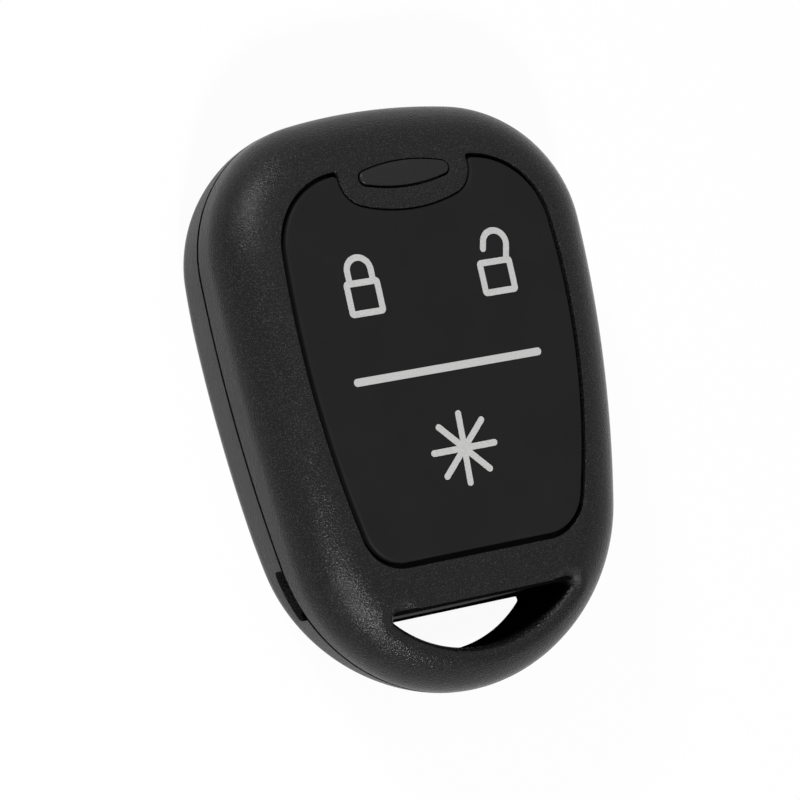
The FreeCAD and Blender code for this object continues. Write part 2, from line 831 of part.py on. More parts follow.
def contact_spring():
    """The minus contact: a plate on the board's underside with a bowed tongue onto the cell."""
    cell_top = cell_z + cell_height
    half = contact_half_length
    width = contact_width / 2
    plate = box((-half, cell_y - width, board_z - contact_thickness), (half, cell_y + width, board_z))
    high = board_z - contact_thickness / 2
    outline = [
        FreeCAD.Vector(-half, 0, high),
        FreeCAD.Vector(-half / 4, 0, cell_top),
        FreeCAD.Vector(half / 4, 0, cell_top),
        FreeCAD.Vector(half, 0, high),
        FreeCAD.Vector(half - 2 * contact_thickness, 0, high),
        FreeCAD.Vector(half / 4 - contact_thickness / 2, 0, cell_top + contact_thickness),
        FreeCAD.Vector(-half / 4 + contact_thickness / 2, 0, cell_top + contact_thickness),
        FreeCAD.Vector(-half + 2 * contact_thickness, 0, high),
    ]
    tongue = Part.Face(Part.makePolygon(outline + outline[:1]))
    tongue.translate(FreeCAD.Vector(0, cell_y - width, 0))
    tongue = tongue.extrude(FreeCAD.Vector(0, contact_width, 0))
    return plate.fuse(tongue).removeSplitter()


def push_switch(name):
    """One push switch: its moulded base, steel cover, snap dome and the stem that moves."""
    x, y = key_places[name]
    half = switch_side / 2
    base_top = board_top_z + switch_base_height
    well_z = board_top_z + switch_floor
    base = box((x - half, y - half, board_top_z), (x + half, y + half, base_top))
    base = base.cut(cylinder(x, y, well_z, base_top + 1, switch_well_radius))
    cover_top = base_top + switch_cover_thickness
    cover_half = half + switch_cover_thickness
    skirt_low = base_top - switch_cover_skirt
    cover = box((x - cover_half, y - cover_half, skirt_low), (x + cover_half, y + cover_half, cover_top))
    cover = cover.cut(box((x - half, y - half, skirt_low - 1), (x + half, y + half, base_top)))
    cover = cover.cut(cylinder(x, y, base_top - 1, cover_top + 1, stem_radius + stem_gap))
    flange_top = base_top - stem_gap
    flange_low = flange_top - stem_flange_thickness
    stem = cylinder(x, y, flange_low, stem_top_z, stem_radius)
    stem = stem.fuse(cylinder(x, y, flange_low, flange_top, stem_flange_radius)).removeSplitter()
    rise = flange_low - stem_gap / 2 - well_z
    ball = (dome_radius ** 2 + rise ** 2) / (2 * rise)
    centre = FreeCAD.Vector(x, y, well_z + rise - ball)
    dome = Part.makeSphere(ball, centre).cut(Part.makeSphere(ball - dome_thickness, centre))
    dome = dome.common(cylinder(x, y, well_z, flange_low, dome_radius))
    return base, cover, stem, dome


def controller_chip():
    """The code chip in its moulded body."""
    low = board_top_z + chip_height * 0.1
    return box(
        (chip_x - chip_width / 2, chip_y - chip_length / 2, low),
        (chip_x + chip_width / 2, chip_y + chip_length / 2, board_top_z + chip_height),
    )


def controller_legs():
    """The chip's legs, four on each side, from its body down to the board."""
    legs = []
    for number in range(chip_legs // 2):
        y = chip_y + (number - (chip_legs // 2 - 1) / 2) * chip_leg_pitch * 2
        for side in (1, -1):
            near = chip_x + side * chip_width / 2
            far = near + side * chip_leg_length
            low_x, high_x = sorted((near, far))
            knee_low, knee_high = sorted((near, near + side * chip_leg_length / 2))
            half = chip_leg_width / 2
            shoulder_z = board_top_z + chip_height / 2
            thickness = chip_leg_width / 2
            top = box((knee_low, y - half, shoulder_z - thickness), (knee_high, y + half, shoulder_z))
            fall_near, fall_far = sorted((near + side * chip_leg_length / 2,
                                          near + side * (chip_leg_length / 2 - thickness)))
            fall = box((fall_near, y - half, board_top_z), (fall_far, y + half, shoulder_z))
            foot_near, foot_far = sorted((near + side * (chip_leg_length / 2 - thickness), far))
            foot = box((foot_near, y - half, board_top_z), (foot_far, y + half, board_top_z + thickness))
            legs.append(top.fuse([fall, foot]).removeSplitter())
    return Part.makeCompound(legs)


def resonator():
    """The frequency resonator in its square metal can."""
    return rounded_block(resonator_x, resonator_y, resonator_side, resonator_side,
                         board_top_z, board_top_z + resonator_height, resonator_side / 8)


def transistor():
    """The transmitter transistor."""
    return box(
        (transistor_x - transistor_width / 2, transistor_y - transistor_length / 2, board_top_z),
        (transistor_x + transistor_width / 2, transistor_y + transistor_length / 2,
         board_top_z + transistor_height),
    )


def indicator_lamp():
    """The small surface lamp under the light post."""
    return box(
        (-led_length / 2, window_y - led_width / 2, board_top_z),
        (led_length / 2, window_y + led_width / 2, board_top_z + led_height),
    )


def passives(places):
    """Like chip parts of one kind, each a separate block on the board."""
    blocks = []
    for x, y in places:
        blocks.append(box(
            (x - passive_length / 2, y - passive_width / 2, board_top_z),
            (x + passive_length / 2, y + passive_width / 2, board_top_z + passive_height),
        ))
    return Part.makeCompound(blocks)


shell = case_shell()
save("front_shell", front_shell(shell))
save("rear_shell", rear_shell(shell))
save("keypad_skin", keypad_skin())
save("keypad_frame", keypad_frame())
for key_name in key_places:
    save(key_name + "_key", key_plate_of(key_name))
    base, cover, stem, dome = push_switch(key_name)
    save(key_name + "_switch_base", base)
    save(key_name + "_switch_cover", cover)
    save(key_name + "_switch_stem", stem)
    save(key_name + "_switch_dome", dome)
save("lock_icon", lock_icon())
save("unlock_icon", unlock_icon())
save("star_icon", star_icon())
save("divider_line", divider_line())
save("light_window", light_window())
save("circuit_board", circuit_board())
save("antenna_track", antenna_track())
can, cap, seal = coin_cell()
save("cell_can", can)
save("cell_cap", cap)
save("cell_seal", seal)
save("battery_clip", battery_clip())
save("contact_spring", contact_spring())
save("controller_chip", controller_chip())
save("controller_legs", controller_legs())
save("resonator", resonator())
save("transistor", transistor())
save("indicator_lamp", indicator_lamp())
capacitor_places = [(resonator_x + resonator_side, resonator_y + step) for step in (-1.5, 0.0, 1.5)]
capacitor_places += [(transistor_x - 3.0, transistor_y + step) for step in (-0.8, 0.8)]
resistor_places = [(chip_x, chip_y - chip_length / 2 - 1.2 - step) for step in (0.0, 1.2)]
resistor_places += [(-led_length - 1.5, window_y), (chip_x - 4.2, chip_y + 1.5)]
save("capacitors", passives(capacitor_places))
save("resistors", passives(resistor_places))
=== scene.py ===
import math

import bmesh
import bpy
import numpy as np
from mathutils import Matrix, Vector
from mathutils.geometry import delaunay_2d_cdt


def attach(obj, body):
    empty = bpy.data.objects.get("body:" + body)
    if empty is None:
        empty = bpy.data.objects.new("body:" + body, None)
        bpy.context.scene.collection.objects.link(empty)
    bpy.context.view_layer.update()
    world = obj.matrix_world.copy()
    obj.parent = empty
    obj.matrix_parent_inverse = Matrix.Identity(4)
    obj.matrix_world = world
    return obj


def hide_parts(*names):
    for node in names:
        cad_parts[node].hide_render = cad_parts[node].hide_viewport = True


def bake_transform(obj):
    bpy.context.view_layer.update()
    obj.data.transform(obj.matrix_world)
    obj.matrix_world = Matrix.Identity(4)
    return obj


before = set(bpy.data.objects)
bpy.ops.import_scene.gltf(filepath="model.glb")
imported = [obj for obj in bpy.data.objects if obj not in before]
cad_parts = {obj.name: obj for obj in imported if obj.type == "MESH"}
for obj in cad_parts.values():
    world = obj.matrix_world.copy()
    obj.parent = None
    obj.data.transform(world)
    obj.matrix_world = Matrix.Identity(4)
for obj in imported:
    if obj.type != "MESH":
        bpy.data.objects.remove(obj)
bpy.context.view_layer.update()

# Rear shell. The lower half of the case, injection moulded in black ABS with a fine spark grain.
# It carries the board posts, the well for the coin cell and a lip that plugs into the front shell.
MM = 0.001
case_length = 59.8
case_width = 42.0
nose_radius = 62.9
corner_radius = 13.9
flank_radius = 179.5
back_depth = 6.2
wall = 1.6
fit_gap = 0.1
back_flat_length = 18.0
back_end_radius = 65.0
back_edge_radius = 2.65
groove_height = 0.40
groove_depth = 0.55
lip_thickness = 0.75
lip_height = 1.2
ring_width = 4.3
slot_depth = 4.65
slot_step = 0.65
ledge_radius = 0.5
slot_corner_radius = 0.35
slot_wall = 1.3
slot_back_radius = 0.9
slot_front_radii = (0.45, 2.0)
pry_length = 5.6
pry_height = 1.8
pry_depth = 1.1
pry_turn = math.radians(198.3)
pry_corner_radius = 0.5
label_size = (22.0, 14.0)
label_y = 2.0
label_depth = 0.2
label_corner_radius = 1.5
board_z = 5.95
board_pins = ((14.0, 15.5), (-14.0, 15.5), (11.4, -13.6), (-11.4, -13.6))
pin_radius = 0.7
pin_height = 0.8
post_radius = 1.5
cell_y = -1.0
rib_radii = (10.4, 11.3)
rib_top = 4.0
rib_opening = 2.9
ledge_run = 0.7
corner_ring = 0.4
pry_overrun = 0.2
face_clearance = 0.01
shell_spacing = 0.9
crease_angle = math.radians(32)

half_width = case_width / 2
nose_centre = (0.0, case_length / 2 - nose_radius)
corner_x = half_width - corner_radius
corner_y = nose_centre[1] + math.sqrt((nose_radius - corner_radius) ** 2 - corner_x ** 2)
flank_x = half_width - flank_radius
flank_drop = corner_y + case_length / 2
tail_radius = (flank_radius ** 2 - flank_x ** 2 - flank_drop ** 2) / (2 * (flank_radius - flank_drop))
tail_y = tail_radius - case_length / 2
slot_top = ring_width + slot_depth - case_length / 2
slot_rise = slot_top - slot_corner_radius - tail_y
slot_reach = math.sqrt((tail_radius - ring_width - slot_corner_radius) ** 2 - slot_rise ** 2)


def arc_run(centre, radius, start, end, step=0.45):
    """Points along an arc in the flat, without its last one."""
    count = max(3, math.ceil(abs(end - start) * max(abs(radius), 1.0) / step))
    angles = np.linspace(start, end, count, endpoint=False)
    return [(centre[0] + radius * math.cos(a), centre[1] + radius * math.sin(a)) for a in angles]


def straight_run(start, end, step=0.45):
    """Points along a straight line, without its last one."""
    count = max(1, math.ceil(math.dist(start, end) / step))
    return [tuple(np.array(start) + (np.array(end) - np.array(start)) * i / count) for i in range(count)]


def mirror_closed(right):
    """A closed loop from its right half, which runs from the middle line to the middle line."""
    left = [(-x, y) for x, y in right[::-1] if abs(x) > 1e-9]
    return np.array(right + left)


def case_loop(inset):
    """The case outline, a distance inside its outer face."""
    nose_angle = math.atan2(corner_y - nose_centre[1], corner_x)
    tail_angle = math.atan2(tail_y - corner_y, -flank_x)
    right = arc_run(nose_centre, nose_radius - inset, math.pi / 2, nose_angle)
    right += arc_run((corner_x, corner_y), corner_radius - inset, nose_angle, 0)
    right += arc_run((flank_x, corner_y), flank_radius - inset, 0, tail_angle)
    right += arc_run((0, tail_y), tail_radius - inset, tail_angle, -math.pi / 2)
    return mirror_closed(right + [(0.0, tail_y - tail_radius + inset)])


def slot_loop(grow, step=0.0):
    """The D of the key-ring slot: a straight top and a bottom that follows the tail."""
    top = slot_top + grow - step
    radius = tail_radius - ring_width + grow
    corner = slot_corner_radius + grow
    rise = top - corner - tail_y
    x = math.sqrt((radius - corner) ** 2 - rise ** 2)
    angle = math.atan2(rise, x)
    right = straight_run((0.0, top), (x, top))
    right += arc_run((x, top - corner), corner, math.pi / 2, angle, step=0.15)
    right += arc_run((0, tail_y), radius, angle, -math.pi / 2)
    return mirror_closed(right + [(0.0, tail_y - radius)])


def circle_loop(x, y, radius):
    """A circle."""
    return np.array(arc_run((x, y), radius, 0, 2 * math.pi, step=0.3))


def rounded_loop(x, y, width, length, radius):
    """A rectangle with rounded corners."""
    points = []
    for number, (sx, sy) in enumerate(((1, 1), (-1, 1), (-1, -1), (1, -1))):
        centre = (x + sx * (width / 2 - radius), y + sy * (length / 2 - radius))
        start = number * math.pi / 2
        points += arc_run(centre, radius, start, start + math.pi / 2, step=0.2)
        points.append((centre[0] + radius * math.cos(start + math.pi / 2),
                       centre[1] + radius * math.sin(start + math.pi / 2)))
    return np.array(points)


def distance_to(points, loop, batch=4000):
    """How far each point is from a closed line."""
    ends = np.roll(loop, -1, axis=0)
    span = ends - loop
    best = np.full(len(points), np.inf)
    for first in range(0, len(points), batch):
        away = points[first:first + batch, None, :] - loop[None]
        share = np.clip((away * span).sum(2) / np.maximum((span ** 2).sum(1), 1e-12), 0, 1)
        best[first:first + batch] = np.sqrt((((away - share[..., None] * span) ** 2).sum(2)).min(1))
    return best


def inside(points, loop):
    """Which points lie inside a closed line."""
    ends = np.roll(loop, -1, axis=0)
    odd = np.zeros(len(points), bool)
    for a, b in zip(loop, ends):
        crosses = (a[1] > points[:, 1]) != (b[1] > points[:, 1])
        if crosses.any():
            x = a[0] + (points[:, 1] - a[1]) * (b[0] - a[0]) / (b[1] - a[1] if b[1] != a[1] else 1e-12)
            odd ^= crosses & (points[:, 0] < x)
    return odd


def plan_triangles(loops, lines, spacing, clear_share=0.6, batch=500):
    """A flat mesh that has every given line in it and an even grid between them, clear of the lines."""
    coords, edges = [], []
    for loop in loops:
        first, count = len(coords), len(loop)
        coords += [tuple(p) for p in loop]
        edges += [(first + i, first + (i + 1) % count) for i in range(count)]
    for path in lines:
        first = len(coords)
        coords += [tuple(p) for p in path]
        edges += [(first + i, first + i + 1) for i in range(len(path) - 1)]
    fixed = np.array(coords)
    low, high = loops[0].min(0), loops[0].max(0)
    rows = np.arange(low[1], high[1], spacing * math.sqrt(3) / 2)
    grid = []
    for number, y in enumerate(rows):
        shift = (number % 2) * spacing / 2
        grid += [(x, y) for x in np.arange(low[0] + shift, high[0], spacing)]
    grid = np.array(grid)
    near = np.full(len(grid), np.inf)
    for first in range(0, len(fixed), batch):
        part = fixed[first:first + batch]
        near = np.minimum(near, ((grid[:, None] - part[None]) ** 2).sum(2).min(1))
    coords += [tuple(p) for p in grid[near > (spacing * clear_share) ** 2]]
    made = delaunay_2d_cdt([Vector(p) for p in coords], edges, [], 0, 1e-6)
    points = np.array([tuple(p) for p in made[0]])
    triangles = np.array(made[2])
    a, b, c = (points[triangles[:, i]] for i in range(3))
    area = (b[:, 0] - a[:, 0]) * (c[:, 1] - a[:, 1]) - (b[:, 1] - a[:, 1]) * (c[:, 0] - a[:, 0])
    triangles[area < 0] = triangles[area < 0][:, ::-1]
    return points, triangles[np.abs(area) > 1e-9]


def layered_mesh(name, points, triangles, top, bottom, heights):
    """A closed mesh from a plan: each triangle has a top and a bottom level, and walls close every step."""
    verts, faces, known = [], [], {}

    def corner(index, level):
        """The vertex of a plan point at a level, made on first use."""
        key = (index, level)
        if key not in known:
            known[key] = len(verts)
            x, y = points[index]
            verts.append((x * MM, y * MM, heights[level][index] * MM))
        return known[key]

    owner, columns = {}, {}
    for number, (a, b, c) in enumerate(triangles):
        if top[number]:
            for edge in ((a, b), (b, c), (c, a)):
                owner[edge] = number
                columns.setdefault(edge[0], set()).update((top[number], bottom[number]))

    def between(index, lower, upper):
        """The corners that other faces have on one upright line, between two levels."""
        low, high = heights[lower][index], heights[upper][index]
        levels = [k for k in columns[index] if low + 1e-6 < heights[k][index] < high - 1e-6]
        return [corner(index, k) for k in sorted(levels, key=lambda k: heights[k][index])]

    for number, (a, b, c) in enumerate(triangles):
        if not top[number]:
            continue
        high, low = top[number], bottom[number]
        faces.append([corner(i, high) for i in (a, b, c)])
        faces.append([corner(i, low) for i in (c, b, a)])
        for start, end in ((a, b), (b, c), (c, a)):
            other = owner.get((end, start))
            steps = [(low, high)]
            if other is not None:
                steps = [(top[other], high), (low, bottom[other])]
            for lower, upper in steps:
                rise_start = heights[upper][start] - heights[lower][start]
                rise_end = heights[upper][end] - heights[lower][end]
                if lower == upper or rise_start + rise_end <= 1e-7:
                    continue
                near, far = between(start, lower, upper), between(end, lower, upper)
                faces.append([corner(start, lower), corner(end, lower), *far, corner(end, upper),
                              corner(start, upper), *near[::-1]])
    mesh = bpy.data.meshes.new(name)
    mesh.from_pydata(verts, [], faces)
    work = bmesh.new()
    work.from_mesh(mesh)
    bmesh.ops.remove_doubles(work, verts=work.verts, dist=2e-8)
    bmesh.ops.dissolve_degenerate(work, edges=work.edges, dist=1e-9)
    work.to_mesh(mesh)
    work.free()
    mesh.shade_smooth()
    mesh.set_sharp_from_angle(angle=crease_angle)
    made = bpy.data.objects.new(name, mesh)
    bpy.context.scene.collection.objects.link(made)
    return made


def round_drop(distance, radius):
    """How far a rounded edge lies below the face, by the distance from the edge."""
    inner = np.clip(radius - distance, 0, radius)
    return radius - np.sqrt(radius ** 2 - inner ** 2)


def round_rings(radius, count):
    """Distances from an edge at which a rounding of even turns has its lines."""
    return [radius * (1 - math.cos(math.pi / 2 * i / count)) for i in range(1, count + 1)]


def back_height(points, inset):
    """The back face, flat in the middle and curving up to both ends."""
    past = np.clip(np.abs(points[:, 1]) - back_flat_length / 2, 0, None)
    return inset + (back_end_radius - inset) - np.sqrt((back_end_radius - inset) ** 2 - past ** 2)


def new_material(name, colour, roughness, metallic=0.0):
    """A material with its plain values on the shader's own sockets."""
    material = bpy.data.materials.new(name)
    material.use_nodes = True
    shader = material.node_tree.nodes["Principled BSDF"]
    shader.inputs["Base Color"].default_value = (*colour, 1.0)
    shader.inputs["Roughness"].default_value = roughness
    shader.inputs["Metallic"].default_value = metallic
    return material, material.node_tree, shader


def add_node(tree, kind, **values):
    """A node with its inputs set by name, where a name may be a link from another node."""
    node = tree.nodes.new(kind)
    for name, value in values.items():
        name = name.replace("_", " ")
        if isinstance(value, bpy.types.NodeSocket):
            tree.links.new(value, node.inputs[name])
        elif name in node.inputs:
            node.inputs[name].default_value = value
        else:
            setattr(node, name.replace(" ", "_"), value)
    return node


def new_group(name, inputs, outputs):
    """An empty shader node group with number inputs and outputs."""
    group = bpy.data.node_groups.new(name, "ShaderNodeTree")
    for label, value in inputs.items():
        socket = group.interface.new_socket(label, in_out="INPUT", socket_type="NodeSocketFloat")
        socket.default_value = value
    for label in outputs:
        group.interface.new_socket(label, in_out="OUTPUT", socket_type="NodeSocketFloat")
    return group, group.nodes.new("NodeGroupInput"), group.nodes.new("NodeGroupOutput")


def divided_by(tree, value, socket):
    """A plain number divided by a linked one."""
    node = add_node(tree, "ShaderNodeMath", operation="DIVIDE")
    node.inputs[0].default_value = value
    tree.links.new(socket, node.inputs[1])
    return node.outputs[0]


# The grain of a spark-eroded mould: small pits, bright specks and a faint unevenness. The specks are partly
# grain tone and partly painted glints of the grain.
speck_fineness = 1.6
grain_glint_range = (0.53, 0.72)
grain_group, grain_in, grain_out = new_group(
    "spark_grain", {"Pit Size": 0.0002, "Cloud Size": 0.004}, ["Height", "Pits", "Grain And Glint Specks", "Clouds"])
place = add_node(grain_group, "ShaderNodeTexCoord")
fine = divided_by(grain_group, 1.0, grain_in.outputs["Pit Size"])
pits = add_node(grain_group, "ShaderNodeTexNoise", Vector=place.outputs["Object"], Scale=fine,
                Detail=2.0, Roughness=0.6)
finer = add_node(grain_group, "ShaderNodeMath", operation="MULTIPLY")
grain_group.links.new(fine, finer.inputs[0])
finer.inputs[1].default_value = speck_fineness
speck_noise = add_node(grain_group, "ShaderNodeTexNoise", Vector=place.outputs["Object"], Scale=finer.outputs[0],
                Detail=1.0, Roughness=0.5)
coarse = divided_by(grain_group, 1.0, grain_in.outputs["Cloud Size"])
clouds = add_node(grain_group, "ShaderNodeTexNoise", Vector=place.outputs["Object"], Scale=coarse,
                  Detail=3.0, Roughness=0.5)
grain_glint_specks = add_node(grain_group, "ShaderNodeMapRange", Value=speck_noise.outputs["Fac"])
grain_glint_specks.inputs["From Min"].default_value, grain_glint_specks.inputs["From Max"].default_value = grain_glint_range
grain_group.links.new(pits.outputs["Fac"], grain_out.inputs["Height"])
grain_group.links.new(pits.outputs["Fac"], grain_out.inputs["Pits"])
grain_group.links.new(grain_glint_specks.outputs["Result"], grain_out.inputs["Grain And Glint Specks"])
grain_group.links.new(clouds.outputs["Fac"], grain_out.inputs["Clouds"])


def use_group(tree, group, **values):
    """A shader group placed in a material, with the values it has there."""
    node = tree.nodes.new("ShaderNodeGroup")
    node.node_tree = group
    for name, value in values.items():
        node.inputs[name.replace("_", " ")].default_value = value
    return node


def map_value(tree, source, low, high, from_low=0.0, from_high=1.0):
    """A value spread over a new range."""
    node = add_node(tree, "ShaderNodeMapRange", Value=source)
    node.inputs["From Min"].default_value = from_low
    node.inputs["From Max"].default_value = from_high
    node.inputs["To Min"].default_value = low
    node.inputs["To Max"].default_value = high
    return node.outputs["Result"]


def map_noise(tree, source, low, high):
    """A noise value spread over a new range. Most of a noise lies between 0.3 and 0.7."""
    return map_value(tree, source, low, high, 0.3, 0.7)


def blend_colours(tree, share, dark, light):
    """A colour between two, by a share."""
    node = tree.nodes.new("ShaderNodeMix")
    node.data_type = "RGBA"
    tree.links.new(share, node.inputs["Factor"])
    node.inputs["A"].default_value = (*dark, 1.0)
    node.inputs["B"].default_value = (*light, 1.0)
    return node.outputs["Result"]


def add_relief(tree, shader, height, distance, strength=1.0):
    """A fine relief from a height."""
    bump = add_node(tree, "ShaderNodeBump", Height=height, Strength=strength, Distance=distance)
    tree.links.new(bump.outputs["Normal"], shader.inputs["Normal"])


def grained_plastic(name, dark, light, roughness, pit_size, depth, specular=0.5):
    """Moulded plastic with a grain: dark pits, light specks that are partly painted glints, uneven gloss and
    a fine relief.
    """
    material, tree, shader = new_material(name, dark, roughness[0])
    grain = use_group(tree, grain_group, Pit_Size=pit_size)
    # Light specks in the colour: partly grain tone, partly painted glints.
    tree.links.new(blend_colours(tree, grain.outputs["Grain And Glint Specks"], dark, light), shader.inputs["Base Color"])
    tree.links.new(map_noise(tree, grain.outputs["Clouds"], *roughness), shader.inputs["Roughness"])
    add_relief(tree, shader, grain.outputs["Height"], depth)
    shader.inputs["Specular IOR Level"].default_value = specular
    return material


case_black = grained_plastic("case_black", dark=(0.0046, 0.0046, 0.0048), light=(0.031, 0.031, 0.032),
                             roughness=(0.15, 0.20), pit_size=0.0002, depth=0.00008, specular=0.15)
# Painted shade: a darker copy of the case plastic without gloss, laid on the slot's walls and the seam's
# groove.
recess_shade_black = grained_plastic("recess_shade_black", dark=(0.0026, 0.0026, 0.0027), light=(0.0085, 0.0085, 0.0088),
                             roughness=(0.80, 0.90), pit_size=0.00025, depth=0.00004, specular=0.0)
parting_black = grained_plastic("parting_black", dark=(0.006, 0.006, 0.0062), light=(0.01, 0.01, 0.0103),
                                roughness=(0.16, 0.22), pit_size=0.0006, depth=0.00001, specular=0.6)

# Faces are picked by how far they lean up and by how far past an outline they still count
wall_slant = 0.55
brow_slant = 0.93
brow_height = 1
slot_margin = 0.12
groove_margin = 0.02
seam_margin = 0.005


def shade_recesses_and_polish_ledge(shell, step):
    """The slot's walls and the seam's groove get a darker copy of the case plastic without gloss, as painted
    shade, and the parting face is polished.
    """
    shell.data.materials.append(recess_shade_black)
    shell.data.materials.append(parting_black)
    faces = shell.data.polygons
    middles = np.array([tuple(f.center) for f in faces]) / MM
    rise = np.array([f.normal.z for f in faces])
    away = distance_to(middles[:, :2], case_loop(0.0))
    seam_away = np.abs(middles[:, 2] - back_depth)
    # Faces that get the painted shade: the slot's walls, the brow over its straight top and the seam's
    # groove.
    slot_shade = inside(middles[:, :2], slot_loop(slot_margin, step)) & (np.abs(rise) < wall_slant)
    slot_shade |= (inside(middles[:, :2], slot_loop(slot_front_radii[0])) & (middles[:, 1] > slot_top)
                & (np.abs(rise) < brow_slant) & (middles[:, 2] > back_depth + brow_height))
    groove_shade = ((away > groove_margin) & (away < groove_depth + groove_margin)
                 & (seam_away < groove_height / 2 + seam_margin))
    ledge = (inside(middles[:, :2], slot_loop(slot_margin)) & (rise > wall_slant)
             & (seam_away < ledge_radius))
    parting = ledge & (middles[:, 1] > slot_top - slot_step)
    slot_shade |= ledge & ~parting
    for number, (shaded, bright) in enumerate(zip(slot_shade | groove_shade, parting & ~slot_shade)):
        if shaded or bright:
            faces[number].material_index = 1 if shaded else 2


rear_loops = [case_loop(d) for d in [0.0] + round_rings(back_edge_radius, 10) + [
    groove_depth, wall - lip_thickness, wall, wall + corner_ring]]
rear_loops += [slot_loop(g, slot_step) for g in [0.0] + round_rings(slot_back_radius, 6) + [slot_wall]]
rear_loops += [slot_loop(g, slot_step) for g in round_rings(ledge_radius, 4)]
rear_loops += [rounded_loop(0, label_y, *label_size, label_corner_radius)]
rear_loops += [circle_loop(x, y, r) for x, y in board_pins for r in (pin_radius, post_radius)]
rear_loops += [circle_loop(0, cell_y, r) for r in rib_radii]
along = np.array([math.cos(pry_turn), math.sin(pry_turn)])
across = np.array([-along[1], along[0]])
pry_centre = np.array([0.0, tail_y])
pry_lines = []
for inset in [0.0] + round_rings(pry_corner_radius, 4):
    for side in (1, -1):
        near, far = (pry_centre + along * r + across * side * (pry_length / 2 - inset)
                     for r in (tail_radius - pry_depth, tail_radius + pry_overrun))
        pry_lines.append([near, far])
pry_lines.append([pry_lines[0][0], pry_lines[1][0]])
points, triangles = plan_triangles(rear_loops, pry_lines, shell_spacing)
centres = points[triangles].mean(1)
edge_away = distance_to(points, rear_loops[0])
slot_edge = slot_loop(0.0, slot_step)
slot_away = distance_to(points, slot_edge)
near_top = np.clip((points[:, 1] - slot_top + slot_step + ledge_run) / ledge_run, 0, 1)
pry_v = np.abs((points - pry_centre) @ across)
heights = {
    "back": np.minimum(back_height(points, 0.0) + round_drop(edge_away, back_edge_radius)
                       + round_drop(slot_away, slot_back_radius),
                       back_depth - groove_height / 2 - face_clearance),
    "label": np.full(len(points), label_depth),
    "groove": np.full(len(points), back_depth - groove_height / 2),
    "seam": np.full(len(points), back_depth),
    "ledge": back_depth - near_top * round_drop(slot_away, ledge_radius),
    "lip": np.full(len(points), back_depth + lip_height),
    "floor": back_height(points, wall) + round_drop(edge_away - wall, back_edge_radius - wall),
    "post": np.full(len(points), board_z),
    "pin": np.full(len(points), board_z + pin_height),
    "rib": np.full(len(points), rib_top),
    "pry": back_depth - pry_height + round_drop(pry_length / 2 - pry_v, pry_corner_radius),
}
away = distance_to(centres, rear_loops[0])
top = np.full(len(triangles), "floor", dtype=object)
top[away < wall] = "lip"
top[away < wall - lip_thickness] = "seam"
top[away < groove_depth] = "groove"
top[inside(centres, slot_loop(slot_wall, slot_step))] = "ledge"
ring = np.hypot(centres[:, 0], centres[:, 1] - cell_y)
open_side = np.abs(centres[:, 1] - cell_y) > rib_opening
top[(ring > rib_radii[0]) & (ring < rib_radii[1]) & open_side] = "rib"
for x, y in board_pins:
    reach = np.hypot(centres[:, 0] - x, centres[:, 1] - y)
    top[reach < post_radius] = "post"
    top[reach < pin_radius] = "pin"
u, v = (centres - pry_centre) @ along, (centres - pry_centre) @ across
top[(u > tail_radius - pry_depth) & (np.abs(v) < pry_length / 2)] = "pry"
top[~inside(centres, rear_loops[0]) | inside(centres, slot_edge)] = None
bottom = np.full(len(triangles), "back", dtype=object)
bottom[inside(centres, rounded_loop(0, label_y, *label_size, label_corner_radius))] = "label"
rear_shell = layered_mesh("rear_case", points, triangles, top, bottom, heights)
rear_shell.data.materials.append(case_black)
shade_recesses_and_polish_ledge(rear_shell, slot_step)
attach(rear_shell, "case")
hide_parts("rear_shell")

# Front shell. The upper half of the case, the same black grained ABS, bowed lengthwise like a drum.
# Its edge is a broad rounding, and it snaps over the rear shell's lip with four hooks.
front_rise = 8.2
crown_radius = 200.0
crown_y = 3.3
front_edge_radius = 5.35
hook_reach = 3.4
hook_thickness = 0.8
hook_width = 4.0
hook_places = (9.0, -8.0)
hook_span = (15.0, 20.5)
rim_width = 5.28
key_flank_radius = 88.0
key_flank_y = 9.3
shoulder_radius = 8.1
shoulder_y = 15.3
key_corner_radius = 4.7
bridge_width = 4.45
tab_half_width = 7.4
tab_reach = 11.18
tab_corner_radius = 3.0
tab_bottom_radius = 17.0
opening_tip_radius = 0.3
opening_edge_radius = 0.1
opening_rings = (0.0, 0.015, 0.05, opening_edge_radius)
window_half_length = 5.25
window_half_height = 1.43
window_end_radius = 0.85
window_y = 22.32
window_edge_radius = 0.08
window_rings = (0.0, 0.03, window_edge_radius)
slot_round_run = 2.2

top_z = back_depth + front_rise
key_flank_x = half_width - rim_width - key_flank_radius
key_bottom = slot_top + bridge_width
tab_bottom = case_length / 2 - tab_reach
tab_rise = math.sqrt((tab_bottom_radius - tab_corner_radius) ** 2 - (tab_half_width - tab_corner_radius) ** 2)
tab_corner_y = tab_bottom + tab_bottom_radius - tab_rise


